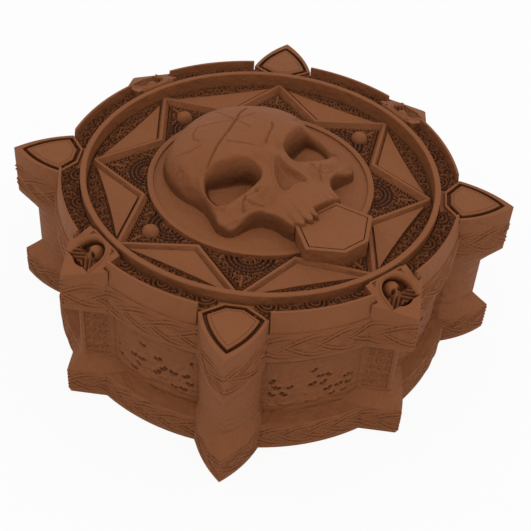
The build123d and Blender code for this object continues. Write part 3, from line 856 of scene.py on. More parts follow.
    def _surface(self, plan_x: Grid, plan_y: Grid) -> tuple[Grid, Grid]:
        """Height above the disc and painted shade at each plan point.

        Args:
            plan_x: X of each point.
            plan_y: Y of each point.

        Returns:
            The height and the painted shade, 0 to 1.
        """
        side = np.abs(plan_x)
        height = self._features(side, plan_y, self._rough(side, plan_y))
        height += 0.2 * lattice_noise(plan_x, plan_y, 6.0, 3) + 0.06 * lattice_noise(plan_x, plan_y, 1.9, 4)
        height, hollow = self._eyes_and_nose(plan_x, plan_y, height)
        for width, deep, line in self.cracks:
            away = line_distance(plan_x, plan_y, line) + 0.12 * lattice_noise(plan_x, plan_y, 1.2, 9)
            crack = 1 - step(0.0, width * 1.7, np.abs(away))
            height -= deep * crack
            # painted shade in each crack
            hollow = np.maximum(hollow, 0.45 * crack * deep)
        edge = self._edge(plan_x, plan_y)
        cap = np.interp(plan_y, [-40, -28, -20, -10, 0, 12, 43], [1.0, 1.0, 0.9, 1.1, 2.0, 5.0, 5.0])
        share = np.clip(edge / cap, 0, 1)
        height = height * np.sqrt(np.clip(1 - (1 - share) ** 2, 0, 1))
        height = np.where(edge > 0, height, 0) - 0.5 * (1 - step(0, 0.3, edge))
        height -= 2.2 * step(self.disc - 3.0, self.disc - 1.5, np.hypot(plan_x, plan_y))
        # painted shade where the head meets the disc
        return height, np.maximum(hollow, 0.6 * (1 - step(0.0, 1.6, edge)))

    def build(self, material: bpy.types.Material) -> bpy.types.Object:
        """Builds the head, sets it on the lid and hides the plain solid under it.

        Args:
            material: the finish.

        Returns:
            The head.
        """
        across = np.arange(-37.2, 37.2 + self.pitch / 2, self.pitch)
        along = np.arange(43.2, -40.2, -self.pitch)
        plan_x, plan_y = np.meshgrid(across, along)
        height, hollow = self._surface(plan_x, plan_y)
        top = np.stack([plan_x, plan_y, self.base + height], -1)
        foot = top[:, [0, -1]].copy()
        foot[..., 2] = self.base - self.buried
        role = Role("carved_brown", "lid", "carved_head")
        return carved_slab("skull", top, foot, hollow, material, role, 70)


# ---------------------------------------------------------------- lid filigree


@dataclass
class LidFiligree:
    """Carved fields of the lid: inside the star's points and along the hoop."""

    ground: float = 65.6
    disc_edge: float = 46.6
    hoop_edge: float = 70.9
    tip: float = 69.5
    waist: float = 49.0
    ridge_half: float = 1.9
    hollow_edge: float = 63.2
    pitch: float = 0.24
    scroll_size: float = 3.0
    thread_pitch: float = 1.35
    ring_pitch: float = 1.75
    band_scroll_size: float = 3.9
    band_thread_pitch: float = 1.6
    bead_orbit: float = 54.5
    bead_seat: float = 3.7

    def _edge_offset(self, reach: Grid, spread: float) -> Grid:
        """Half angle, in radians, of a star point at each radius, with its sides moved outwards.

        Args:
            reach: the radii.
            spread: how far the sides move outwards, millimetres.

        Returns:
            The half angles.
        """
        corner_x = self.waist * math.cos(math.radians(22.5))
        corner_y = self.waist * math.sin(math.radians(22.5))
        run_x, run_y = corner_x - self.tip, corner_y
        length = math.hypot(run_x, run_y)
        normal_x, normal_y = run_y / length, -run_x / length
        clear = self.tip * normal_x + spread
        lean = math.atan2(normal_y, normal_x)
        return lean - np.arccos(np.clip(clear / reach, -1, 1))

    def _point_pattern(self, radial: Grid, tangent: Grid, from_edge: Grid) -> Grid:
        """Rings round the foot of the point, a rib to its tip, beads along its sides, scrolls between.

        Args:
            radial: distance from the chest's axis.
            tangent: distance from the point's middle line.
            from_edge: distance from the side of the point.

        Returns:
            Height, 0 to 1.
        """
        centre = np.hypot(radial - 46.4, (tangent - 1.6) * 0.85)
        rings = np.clip(0.2 + 0.95 * np.cos(centre * 2 * math.pi / self.ring_pitch), 0, 1)
        notch = 0.62 + 0.38 * np.cos(np.arctan2(tangent, radial - 46.4) * 26)
        fine = scrolls(radial + 0.5 * np.sin(tangent), tangent, self.scroll_size, self.thread_pitch, 11)
        mask = (1 - step(8.0, 8.8, centre)) * step(2.8, 3.4, centre)
        pattern = rings * notch * mask + fine * (1 - mask)
        rib = 1 - step(0.3, 0.7, np.abs(tangent))
        pattern = np.maximum(pattern, rib * step(56.5, 57.5, radial))
        beads = np.clip(0.55 + 0.65 * np.cos(radial * 2 * math.pi / 1.25), 0, 1)
        beads = beads * (1 - step(0.4, 0.8, np.abs(from_edge - 1.0)))
        groove = 1 - step(1.5, 1.9, from_edge)
        return np.maximum(pattern * (1 - groove), beads)

    def _point(self, degrees: float, bead: bool) -> tuple[Grid, Grid, Grid]:
        """One carved field inside a point: surface, foot and painted shade.

        Args:
            degrees: where the point lies.
            bead: whether a bead sits in it.

        Returns:
            The surface, the edges of its underside, and painted shade, 0 to 1.
        """
        rows = int((66.4 - self.disc_edge) / self.pitch)
        reach = np.linspace(self.disc_edge, 66.4, rows)[:, None]
        half = np.clip(self._edge_offset(reach, -self.ridge_half), 0.002, None)
        share = np.linspace(-1, 1, 130)[None, :]
        turn = share * half
        radial, tangent = reach * np.ones_like(share), reach * turn
        from_edge = (1 - np.abs(share)) * half * reach * math.cos(math.radians(35))
        pattern = self._point_pattern(radial, tangent, from_edge)
        height = self.ground + 0.15 + 0.85 * pattern
        # painted shade on the ground between the threads
        hollow = 1.0 - 0.68 * pattern
        if bead:
            around = np.hypot(radial * np.cos(turn) - self.bead_orbit, radial * np.sin(turn))
            height = np.where(around < self.bead_seat, self.ground + 0.1, height)
        top = ringed(radial, turn, height, degrees)
        return top, self._foot(reach, half, degrees), hollow

    def _foot(self, reach: Grid, half: Grid, degrees: float) -> Grid:
        """Underside edges of a field of which each row lies at one radius."""
        span = np.concatenate([-half, half], 1)
        return ringed(reach, span, np.full(span.shape, self.ground), degrees)

    def _band(self, degrees: float, seed: int) -> tuple[Grid, Grid, Grid]:
        """One carved field between a smooth panel and the hoop.

        Args:
            degrees: where the field lies.
            seed: fixed seed.

        Returns:
            The surface, the edges of its underside, and painted shade, 0 to 1.
        """
        columns = 44
        limit = 22.0
        turn = np.radians(np.arange(-limit, limit, 0.21))[:, None]
        tip_x = self.tip * math.cos(math.radians(22.5))
        tip_y = self.tip * math.sin(math.radians(22.5))
        bow = self.hollow_edge
        centre = (tip_x**2 + tip_y**2 - bow**2) / (2 * (tip_x - bow))
        radius = abs(centre - bow)
        inner = centre * np.cos(turn) - np.sqrt(np.clip(radius**2 - (centre * np.sin(turn)) ** 2, 0, None))
        inner = np.clip(inner + 0.15, bow, self.hoop_edge - 0.3)
        tries = np.linspace(62, self.hoop_edge, 60)
        ridge = math.radians(22.5) - self._edge_offset(tries, self.ridge_half + 0.1)
        near_tip = np.interp(np.abs(turn), np.sort(ridge), tries[np.argsort(ridge)])
        inner = np.minimum(np.maximum(inner, near_tip), self.hoop_edge - 0.25)
        share = np.linspace(0, 1, columns)[None, :]
        radial = inner + (self.hoop_edge - inner) * share
        along = radial * turn
        fine = scrolls(along, radial, self.band_scroll_size, self.band_thread_pitch, seed)
        rope = np.clip(0.5 + 0.7 * np.cos((along + radial) * 2 * math.pi / 1.6), 0, 1)
        edge = np.minimum(radial - inner, self.hoop_edge - radial)
        border = 1 - step(0.5, 0.9, edge)
        pattern = np.maximum(fine * (1 - border), rope * border)
        height = self.ground + 0.1 + 0.95 * pattern
        top = ringed(radial, turn, height, degrees)
        ends = np.concatenate([radial[:, :1], radial[:, -1:]], 1)
        foot = ringed(ends, turn, np.full(ends.shape, self.ground), degrees)
        # painted shade on the ground between the threads
        return top, foot, 0.85 - 0.45 * pattern

    def build(self, material: bpy.types.Material) -> None:
        """Builds the sixteen fields and hides the plain ones.

        Args:
            material: the finish of carved grounds.
        """
        stands_for: str | None = "star_inlays"
        for turn in range(0, 360, 45):
            top, foot, hollow = self._point(turn, turn in (0, 90, 180))
            role = Role("recess_brown", "lid", stands_for)
            carved_slab(f"star_filigree_{turn:03d}", top, foot, hollow, material, role)
            stands_for = None
        stands_for = "outer_bands"
        for bay in Bay:
            top, foot, hollow = self._band(bay.value, int(bay.value))
            role = Role("recess_brown", "lid", stands_for)
            carved_slab(f"hoop_filigree_{bay.name.lower()}", top, foot, hollow, material, role)
            stands_for = None


# ---------------------------------------------------------------- wall carvings


@dataclass
class WallCarvings:
    """Worn piles of small skulls on the wall, and the carved trench."""

    wall: float = 79.1
    panel_foot: float = 17.4
    panel_head: float = 43.0
    panel_margin: float = 1.4
    shaft_half: float = 11.7
    pilaster_apex: float = 88.5
    skull_size: float = 2.7
    worn: float = 0.4
    pile_middle: float = 27.0
    trench_inner: float = 73.9
    trench_outer: float = 80.7
    trench_floor: float = 67.9

    def _skull(self, local_x: Grid, local_y: Grid) -> tuple[Grid, Grid, Grid]:
        """One small, worn skull.

        Args:
            local_x: distance across it, in skull sizes.
            local_y: distance up it, in skull sizes.

        Returns:
            Its height in millimetres, its painted shade in the eye, nose and tooth holes and round its rim,
            and where it covers the field.
        """
        reach = np.hypot(local_x / 0.92, (local_y - 0.15) / 0.88)
        dome = 0.75 * np.sqrt(np.clip(1 - reach**2, 0, None))
        jaw = 0.55 * (1 - step(0.38, 0.55, np.abs(local_x))) * (1 - step(0.3, 0.45, np.abs(local_y + 0.72)))
        dome = np.maximum(dome, jaw)
        eyes = 1 - step(0.22, 0.36, np.hypot(np.abs(local_x) - 0.34, (local_y + 0.1) / 1.25))
        nose = 1 - step(0.06, 0.16, np.hypot(local_x, (local_y + 0.46) * 0.8))
        teeth = (1 - step(0.0, 0.06, np.abs((local_x * 3.4) % 1 - 0.5))) * (local_y < -0.66) * 0.25
        dome = dome - 0.95 * eyes - 0.5 * nose - teeth * (jaw > 0)
        # painted shade in the eye, nose and tooth holes
        dark = np.clip(0.95 * eyes + 0.7 * nose + 0.3 * teeth, 0, 1)
        holes = ((reach < 0.96) | (jaw > 0.2)) & (dark > 0.3)
        # a little painted shade round the skull's rim
        return dome, dark + 0.06 * step(0.75, 1.0, reach), holes

    def _pile(self, along: Grid, up: Grid, seed: int) -> tuple[Grid, Grid]:
        """Heaps small skulls on a flat field.

        Args:
            along: distance along the wall.
            up: height on the wall.
            seed: fixed seed.

        Returns:
            Relief height in millimetres, and painted shade, 0 to 1.
        """
        chance = np.random.default_rng(seed)
        relief = 0.3 + 0.3 * lattice_noise(along, up, 2.4, seed)
        relief = relief + 0.14 * lattice_noise(along, up, 0.8, seed + 1)
        # a faint painted shade over the whole field
        hollow = np.full(along.shape, 0.06)
        low, high = along.min(), along.max()
        pitch = self.skull_size * 1.72
        rise = pitch * 0.82
        for row in range(int((self.panel_head - self.panel_foot) / rise) + 2):
            for column in range(int((high - low) / pitch) + 3):
                middle_x = low + (column - 0.5 + 0.5 * (row % 2) + chance.uniform(-0.14, 0.14)) * pitch
                middle_y = self.panel_foot + (row + 0.2 + chance.uniform(-0.14, 0.14)) * pitch * 0.82
                size = self.skull_size * chance.uniform(0.8, 1.15)
                lean = chance.uniform(-0.7, 0.7)
                if chance.uniform() < self.worn + 0.03 * abs(middle_y - self.pile_middle):
                    continue
                turn_x = (along - middle_x) * math.cos(lean) + (up - middle_y) * math.sin(lean)
                turn_y = -(along - middle_x) * math.sin(lean) + (up - middle_y) * math.cos(lean)
                near = (np.abs(turn_x) < size * 1.4) & (np.abs(turn_y) < size * 1.6)
                if not near.any():
                    continue
                dome, dark, holes = self._skull(turn_x[near] / size, turn_y[near] / size)
                shown = (dome > relief[near]) | holes
                relief[near] = np.where(shown, np.maximum(dome, 0.0), relief[near])
                hollow[near] = np.where(shown, dark, hollow[near])
        return relief, hollow

    def _panel(self, bay: Bay, material: bpy.types.Material) -> None:
        """Builds one pile on its stretch of wall.

        Args:
            bay: which stretch.
            material: the finish.
        """
        column_edge = math.degrees(math.asin((self.shaft_half + self.panel_margin) / self.wall))
        pilaster_edge = (
            math.degrees(math.asin(self.pilaster_apex / (self.wall * math.sqrt(2))))
            - 45
            + math.degrees(self.panel_margin / self.wall)
        )
        start = -22.5 + (pilaster_edge if bay.turns_to_column else column_edge)
        end = 22.5 - (column_edge if bay.turns_to_column else pilaster_edge)
        turn = np.radians(np.linspace(start, end, 150))[:, None]
        up = np.linspace(self.panel_foot, self.panel_head, 130)[None, :]
        along = turn * self.wall + 0 * up
        relief, hollow = self._pile(along, up + 0 * turn, int(bay.value * 2))
        level = up + 0 * turn
        edges = [level - self.panel_foot, self.panel_head - level, along - along.min(), along.max() - along]
        rim = np.minimum.reduce(edges)
        frame = 1 - step(0.1, 2.6, rim)
        relief = relief * (1 - frame) + 0.02 * frame
        # no painted shade on the plain frame
        hollow = hollow * (1 - frame)
        top = ringed(self.wall + relief, turn, up, bay.value)
        wall = self.wall + 0 * turn * np.ones((1, 2))
        ends = np.array([[self.panel_foot, self.panel_head]]) + 0 * turn
        foot = ringed(wall, turn, ends, bay.value)
        place = bay.name.lower()
        role = Role("carved_brown", "chest", f"wall_panel_{place}")
        carved_slab(f"skull_pile_{place}", top, foot, hollow, material, role, 75)

    def _trench(self, bay: Bay, material: bpy.types.Material) -> None:
        """Builds the filigree on one stretch of the trench's floor.

        Args:
            bay: which stretch.
            material: the finish.
        """
        to_column, to_niche = 5.2, 8.0
        start = -22.5 + (to_niche if bay.turns_to_column else to_column)
        end = 22.5 - (to_column if bay.turns_to_column else to_niche)
        turn = np.radians(np.arange(start, end, 0.17))[:, None]
        radial = np.linspace(self.trench_inner, self.trench_outer, 36)[None, :]
        along = turn * radial
        fine = scrolls(along, radial + 0 * turn, 3.5, 1.5, int(bay.value) + 5)
        arcs = np.hypot(radial - self.trench_inner + 0 * turn, (along + 9) % 18 - 9)
        fans = np.clip(0.2 + 0.95 * np.cos(arcs * 2 * math.pi / 1.7), 0, 1)
        mask = 1 - step(4.2, 4.8, arcs)
        pattern = fine * (1 - mask) + fans * mask
        height = self.trench_floor + 0.05 + 0.9 * pattern
        top = ringed(radial, turn, height, bay.value)
        ends = np.array([[self.trench_inner, self.trench_outer]]) + 0 * turn
        foot = ringed(ends, turn, self.trench_floor - 0.2, bay.value)
        role = Role("recess_brown", "chest")
        # painted shade on the trench ground between the threads
        carved_slab(f"trench_filigree_{bay.name.lower()}", top, foot, 0.92 - 0.55 * pattern, material, role)

    def build(self, face: bpy.types.Material, carved: bpy.types.Material) -> None:
        """Builds every panel and trench stretch.

        Args:
            face: the finish of the wall.
            carved: the finish of the trench grounds, with darker painted shade.
        """
        for bay in Bay:
            self._panel(bay, face)
            self._trench(bay, carved)
            log.info("carved the wall and trench of bay %s", bay.name.lower())


# ---------------------------------------------------------------- knotwork


@dataclass
class ChestOutline:
    """The plan of the chest at one height: a round wall with pointed columns and square corners."""

    radius: float
    shoulder: float
    column_half: float
    column_tip: float
    bulge: float
    corner_apex: float

    def _column(self) -> tuple[Grid, Grid]:
        """Angles and radii along one side of a column, from its tip.

        Returns:
            The angles and the radii.
        """
        run = self.column_tip - self.shoulder
        side = math.hypot(run, self.column_half)
        share = np.linspace(0, 1, 60)
        bow = 4 * self.bulge * share * (1 - share)
        out = self.column_tip - run * share + bow * self.column_half / side
        off = self.column_half * share + bow * run / side
        return np.arctan2(off, out), np.hypot(out, off)

    def points(self, grow: float) -> list[tuple[float, float]]:
        """The outline, counter-clockwise.

        Args:
            grow: how far the outline is moved outwards, millimetres.

        Returns:
            Plan points.
        """
        angles, reach = self._column()
        made = []
        for turn in np.radians(np.arange(0, 360, 0.2)):
            column = abs((turn + math.pi / 4) % (math.pi / 2) - math.pi / 4)
            from_column = abs((turn % (math.pi / 2)) - math.pi / 4)
            radius = max(self.radius, self.corner_apex / (math.cos(column) + math.sin(column)))
            if from_column <= angles[-1]:
                radius = max(radius, float(np.interp(from_column, angles, reach)))
            radius += grow
            made.append((radius * math.cos(turn), radius * math.sin(turn)))
        return made


@dataclass
class Knotwork:
    """Interlaced double threads that follow a band round the chest."""

    SIZES: ClassVar[tuple[str, ...]] = ("Waves", "Swing", "Twin gap", "Weave", "Thread radius", "Spacing")

    name: str
    outline: ChestOutline
    level: float
    swing: float
    waves: int
    strands: int = 4
    thread: float = 0.45
    twin_gap: float = 0.95
    weave: float = 0.2
    proud: float = 0.0
    spacing: float = 0.8
    thread_sides: int = 6

    def _thread(
        self,
        graph: Graph,
        curve: Value,
        inputs: bpy.types.Node,
        phase: float,
        twin: float,
    ) -> Value:
        """Adds one thread to the tree.

        Args:
            graph: the tree.
            curve: the band's middle line.
            inputs: the tree's inputs.
            phase: where the thread is in its wave, radians.
            twin: which of a strand's two threads it is, -1 or 1.

        Returns:
            The thread's mesh.
        """
        along = graph.read("GeometryNodeSplineParameter", output="Factor")
        tangent = graph.read("GeometryNodeInputTangent")
        outward = graph.read(
            "ShaderNodeVectorMath", {"operation": "CROSS_PRODUCT"}, {0: tangent, 1: (0.0, 0.0, 1.0)}
        )
        size = {label: Value(graph, inputs.outputs[label]) for label in self.SIZES}
        angle = along * size["Waves"] * (2 * math.pi) + phase
        lift = angle.sin() * size["Swing"] + size["Twin gap"] * twin
        over = (angle * 2.0).sin() * size["Weave"]
        upward = graph.read("ShaderNodeCombineXYZ", inputs={"Z": lift})
        pushed = graph.read("ShaderNodeVectorMath", {"operation": "SCALE"}, {0: outward, "Scale": over})
        offset = graph.read("ShaderNodeVectorMath", {"operation": "ADD"}, {0: upward, 1: pushed})
        moved = graph.read("GeometryNodeSetPosition", inputs={"Geometry": curve, "Offset": offset})
        ring = graph.read(
            "GeometryNodeCurvePrimitiveCircle",
            inputs={"Resolution": self.thread_sides, "Radius": size["Thread radius"]},
            output="Curve",
        )
        return graph.read("GeometryNodeCurveToMesh", inputs={"Curve": moved, "Profile Curve": ring})

    def _tree(self, material: bpy.types.Material) -> bpy.types.NodeTree:
        """Builds the node tree of the band.

        Args:
            material: the finish.

        Returns:
            The tree.
        """
        tree = bpy.data.node_groups.new(self.name, "GeometryNodeTree")
        tree.interface.new_socket("Geometry", in_out="INPUT", socket_type="NodeSocketGeometry")
        for label in self.SIZES:
            tree.interface.new_socket(label, in_out="INPUT", socket_type="NodeSocketFloat")
        tree.interface.new_socket("Geometry", in_out="OUTPUT", socket_type="NodeSocketGeometry")
        graph = Graph(tree)
        inputs = graph.node("NodeGroupInput")
        outline = graph.read("GeometryNodeMeshToCurve", inputs={"Mesh": inputs.outputs["Geometry"]})
        curve = graph.read(
            "GeometryNodeResampleCurve",
            {"mode": "LENGTH"},
            {"Curve": outline, "Length": Value(graph, inputs.outputs["Spacing"])},
        )
        joined = graph.node("GeometryNodeJoinGeometry")
        for strand in range(self.strands):
            for twin in (-1.0, 1.0):
                thread = self._thread(graph, curve, inputs, 2 * math.pi * strand / self.strands, twin)
                graph.tree.links.new(thread.socket, joined.inputs["Geometry"])
        smooth = graph.read("GeometryNodeSetShadeSmooth", inputs={"Geometry": joined.outputs[0]})
        real = graph.read("GeometryNodeRealizeInstances", inputs={"Geometry": smooth})
        dressed = graph.read("GeometryNodeSetMaterial", inputs={"Geometry": real, "Material": material})
        end = graph.node("NodeGroupOutput")
        tree.links.new(dressed.socket, end.inputs["Geometry"])
        return tree

    def build(self, material: bpy.types.Material) -> bpy.types.Object:
        """Builds the band.

        Args:
            material: the finish.

        Returns:
            The band.
        """
        points = [(x * MM, y * MM, self.level * MM) for x, y in self.outline.points(self.proud)]
        edges = [(k, (k + 1) % len(points)) for k in range(len(points))]
        line = bpy.data.meshes.new(self.name + "_line")
        line.from_pydata(points, edges, [])
        host = bpy.data.objects.new(self.name + "_line", line)
        bpy.context.scene.collection.objects.link(host)
        modifier = host.modifiers.new("knot", "NODES")
        modifier.node_group = self._tree(material)
        lengths = (self.swing, self.twin_gap, self.weave, self.thread, self.spacing)
        sizes = dict(zip(self.SIZES, [float(self.waves), *(length * MM for length in lengths)]))
        for item in modifier.node_group.interface.items_tree:
            if item.item_type == "SOCKET" and item.in_out == "INPUT" and item.name in sizes:
                modifier[item.identifier] = sizes[item.name]
        evaluated = host.evaluated_get(bpy.context.evaluated_depsgraph_get())
        mesh = bpy.data.meshes.new_from_object(evaluated)
        mesh.name = self.name
        host.modifiers.remove(modifier)
        bpy.data.objects.remove(host)
        face_outward(mesh)
        return settle(mesh, Role("carved_brown", "chest"))


# ---------------------------------------------------------------- shields


@dataclass
class ShieldGrooveShade:
    """Thin sheets of painted shade lining the groove round each shield, and a fine painted-shade line on its
    face.
    """

    nose_radius: float = 76.2
    nose_half: float = 3.8
    half: float = 11.4
    tip: float = 100.0
    shoulder: float = 81.5
    bulge: float = 1.7
    groove: float = 1.6
    level: float = 69.3
    recess: float = 1.8
    rise: float = 0.4
    skin: float = 0.09
    line_inset: float = 1.05
    line_width: float = 0.3
    line_rise: float = 0.03

    def _plan(self, inset: float) -> Grid:
        """Plan of the shield, moved inwards.

        Args:
            inset: how far, millimetres.

        Returns:
            The two bowed sides, the two straight ones and the nose, as plan points.
        """
        run = self.tip - self.shoulder
        slope, lean = math.atan2(self.half, run), math.atan(4 * self.bulge / math.hypot(run, self.half))
        side_turn = math.atan2(self.half - self.nose_half, self.shoulder - self.nose_radius)
        bowed = np.array([-math.sin(slope - lean), -math.cos(slope - lean)])
        straight = np.array([math.sin(side_turn), -math.cos(side_turn)])
        across = np.array([1.0, 0.0])
        shoulder = np.array([self.shoulder, self.half]) + inset * (bowed + straight) / (1 + bowed @ straight)
        nose = np.array([self.nose_radius, self.nose_half])
        nose = nose + inset * (straight + across) / (1 + straight @ across)
        tip = self.tip - inset / math.sin(slope + lean)
        chord = np.array([tip, 0.0]) - shoulder
        share = np.linspace(0, 1, 40)[:, None]
        bow = 4 * self.bulge * float(chord @ chord) / (run**2 + self.half**2) * share * (1 - share)
        outward = np.array([-chord[1], chord[0]]) / np.linalg.norm(chord)
        half = np.array([tip, 0.0]) - chord * share + outward * bow
        return np.concatenate([half, [nose], [nose * (1, -1)], half[:0:-1] * (1, -1)])

    def build(self, material: bpy.types.Material) -> None:
        """Builds the four painted-shade linings, each with its fine line.

        Args:
            material: the finish.
        """
        low, high, face = self.level - self.recess, self.level - 0.15, self.level + self.rise
        thin, wide = self.skin, self.groove
        groove = [
            (0.01, high), (0.01, low + 0.01), (wide - 0.01, low + 0.01), (wide - 0.01, high),
            (wide - thin, high), (wide - thin, low + thin), (thin, low + thin), (thin, high),
        ]
        near, far = wide + self.line_inset, wide + self.line_inset + self.line_width
        over, under = face + self.line_rise, face - 0.1
        line = [(near, over), (near, under), (far, under), (far, over)]
        for corner in Corner:
            # painted shade: 0.62 in each groove lining, 0.5 on each fine line
            for name, section, depth in (("groove", groove, 0.62), ("line", line, 0.5)):
                self._ring(f"shield_{name}_{corner.name.lower()}", section, depth, corner, material)

    def _ring(
        self,
        name: str,
        section: list[tuple[float, float]],
        depth: float,
        corner: Corner,
        material: bpy.types.Material,
    ) -> None:
        """Sweeps a closed section round the shield's plan.

        Args:
            name: the piece's name.
            section: how far in, and the height, of each corner of the section.
            depth: how much painted shade darkens it.
            corner: which column.
            material: the finish.
        """
        count, around = len(section), len(self._plan(0.0))
        points = []
        for inset, level in section:
            plan = self._plan(inset)
            points.append(turned(plan[:, 0], plan[:, 1], np.full(around, level), corner.value))
        places = np.concatenate(points) * MM
        faces = [
            (a * around + k, b * around + k, b * around + (k + 1) % around, a * around + (k + 1) % around)
            for a, b in zip(range(count), [*range(1, count), 0])
            for k in range(around)
        ]
        mesh = bpy.data.meshes.new(name)
        mesh.from_pydata(places.tolist(), [], faces)
        # painted shade over the whole piece
        painted_shade_attribute(mesh, np.full(len(places), depth))
        face_outward(mesh)
        mesh.materials.append(material)
        settle(mesh, Role("recess_brown", "chest"))


# ---------------------------------------------------------------- pilasters


@dataclass
class PilasterCarvings:
    """Scrolls in the sunken faces of the pilasters, and the arched niche with its small skull."""

    apex: float = 88.5
    wall: float = 79.0
    foot: float = 18.4
    head: float = 47.6
    margin: float = 2.2
    depth: float = 0.8
    crest_radius: float = 75.0
    crest: float = 72.3
    block_apex: float = 95.0
    block_front: float = 64.8
    niche_half: float = 6.6
    niche_leg: float = 5.6
    niche_edge: float = 0.9
    niche_depth: float = 4.4
    scroll_size: float = 4.2
    thread_pitch: float = 1.7
    bone_pitch: float = 2.1
    pitch: float = 0.14

    def _scroll_face(self, side: Side, hand: int, material: bpy.types.Material) -> None:
        """Builds the scrolls in one sunken face.

        Args:
            side: which pilaster.
            hand: -1 or 1, which of its two faces.
            material: the finish.
        """
        half_angle = math.asin(self.apex / (self.wall * math.sqrt(2))) - math.pi / 4
        width = self.wall * math.sin(half_angle) * math.sqrt(2)
        half = width / 2 - self.margin - 0.05
        across = np.arange(-half, half, 0.2)[:, None]
        up = np.arange(self.foot + self.margin + 0.05, self.head - self.margin - 0.05, 0.2)[None, :]
        seed = 20 + side.value + hand
        pattern = scrolls(across + 0 * up + 40, up + 0 * across, self.scroll_size, self.thread_pitch, seed)
        ends_away = np.minimum(up - up.min(), up.max() - up)
        edge = np.minimum(half - np.abs(across) + 0 * up, ends_away + 0 * across)
        border = 1 - step(0.5, 0.9, edge)
        pattern = np.maximum(pattern * (1 - step(0.9, 1.3, 1.6 - edge)), border)
        sunk = self.depth - 0.05 - 0.35 * pattern
        turn = math.radians(side.value + 45 * hand)
        tip, along = math.radians(side.value), math.radians(side.value - 45 * hand)
        middle_x = self.apex * math.cos(tip) - width / 2 * math.cos(along)
        middle_y = self.apex * math.sin(tip) - width / 2 * math.sin(along)

        def place(inward: Grid, row: Grid, height: Grid) -> Grid:
            """Points on the face, sunk by a depth.

            Args:
                inward: how deep each point lies under the face.
                row: distance from the face's middle.
                height: height on the chest.

            Returns:
                The points.
            """
            plan_x = middle_x - math.sin(turn) * row - math.cos(turn) * inward
            plan_y = middle_y + math.cos(turn) * row - math.sin(turn) * inward
            return np.stack(np.broadcast_arrays(plan_x, plan_y, height), -1)

        top = place(sunk, across + 0 * up, up + 0 * across)
        ends = np.array([[up.min(), up.max()]])
        foot = place(np.full((len(across), 2), self.depth + 0.3), across + 0 * ends, ends + 0 * across)
        name = f"pilaster_scrolls_{side.name.lower()}_{'a' if hand < 0 else 'b'}"
        # painted shade on the ground between the scroll threads
        carved_slab(name, top, foot, 0.22 * (1 - pattern), material, Role("carved_brown", "chest"))

    def _niche_relief(self, across: Grid, down: Grid, reach: float) -> tuple[Grid, Grid]:
        """The arch, its hollow, and the small skull over crossed bones.

        Args:
            across: distance from the niche's middle.
            down: distance down the block's slope.
            reach: half the width of the carved field.

        Returns:
            Height above the slope, and painted shade at each place, 0 to 1.
        """
        centre = self.niche_edge + self.niche_half
        away = np.where(down > centre, np.abs(across), np.hypot(across, down - centre))
        inside = self.niche_half - 0.35 - away
        rim = 0.75 * np.exp(-(((inside + 0.75) / 0.5) ** 2))
        floor = -self.niche_depth + 0.25
        skull_y = centre - 2.2
        round_head = np.hypot(across / 3.1, (down - skull_y) / 3.3)
        dome = 4.4 * np.sqrt(np.clip(1 - round_head**2, 0, None)) - self.niche_depth + 0.6
        cheeks = np.hypot(across / 2.2, (down - skull_y - 2.8) / 1.8)
        dome = np.maximum(dome, 3.4 * np.sqrt(np.clip(1 - cheeks**2, 0, None)) - self.niche_depth + 0.6)
        eye = np.hypot((np.abs(across) - 1.2) / 0.85, (down - skull_y - 1.6) / 0.8)
        nose = np.hypot(across / 0.45, (down - skull_y - 3.0) / 0.65)
        eyes = 1 - step(0.7, 1.1, eye)
        dome = dome - 1.8 * eyes - 0.9 * (1 - step(0.6, 1.1, nose))
        bones = np.abs(((np.abs(across) * 0.8 - down) / self.bone_pitch) % 1 - 0.5) * 2
        bone = (1.2 + 1.9 * np.clip(1.25 - bones * 1.8, 0, 1)) * step(skull_y + 2.6, skull_y + 3.6, down)
        bone = bone - self.niche_depth + 0.9
        carved = np.maximum(np.maximum(floor, dome), np.where(down > skull_y + 2.4, bone, floor))
        sink = step(0.0, 0.45, inside)
        height = carved * sink + rim * (1 - sink)
        outer = step(reach - 0.7, reach - 0.1, np.abs(across))
        outer = np.maximum(outer, 1 - step(-0.3, 0.2, down))
        height = height * (1 - outer) - 0.35 * outer
        # painted shade on the niche floor, between the bones and in the eyes; none on the skull's face
        low_part = carved < floor + 0.4
        groove = (bones > 0.55) & (down > skull_y + 2.6) & (dome < bone)
        hollow = np.where(inside > 0.2, 0.15 + 0.75 * low_part + 0.65 * groove, 0.0)
        hollow = np.clip(np.maximum(hollow, 0.9 * eyes * (inside > 0.2)), 0, 1)
        plain = (inside > 0.2) & (round_head < 0.85) & (eyes < 0.3)
        return height, np.where(plain, 0.0, hollow)

    def _niche(self, side: Side, material: bpy.types.Material) -> None:
        """Builds one niche on the slope of its block.

        Args:
            side: which pilaster.
            material: the finish.
        """
        slope = math.atan2(self.crest - self.block_front, self.block_apex - self.crest_radius)
        reach = self.niche_half + 1.5
        low = self.niche_edge + self.niche_half + self.niche_leg - 0.3
        across = np.arange(-reach, reach + 0.05, self.pitch)[:, None]
        down = np.arange(-0.4, low, self.pitch)[None, :]
        across, down = np.broadcast_arrays(across, down)
        height, hollow = self._niche_relief(across, down, reach)

        def on_slope(sides: Grid, far: Grid, rise: Grid | float) -> Grid:
            """Points on the block's slope, raised from it.

            Args:
                sides: distance from the niche's middle.
                far: distance down the slope.
                rise: height above the slope.

            Returns:
                The points.
            """
            out = self.crest_radius + far * math.cos(slope) + rise * math.sin(slope)
            level = self.crest - far * math.sin(slope) + rise * math.cos(slope)
            return turned(out, -sides, level, side.value)

        ends = np.array([[down.min(), down.max()]]) + 0 * across[:, :1]
        foot = on_slope(across[:, :1] + 0 * ends, ends, -self.niche_depth - 0.4)
        place = side.name.lower()
        role = Role("carved_brown", "chest", f"niche_head_{place}")
        carved_slab(f"niche_skull_{place}", on_slope(across, down, height), foot, hollow, material, role, 65)

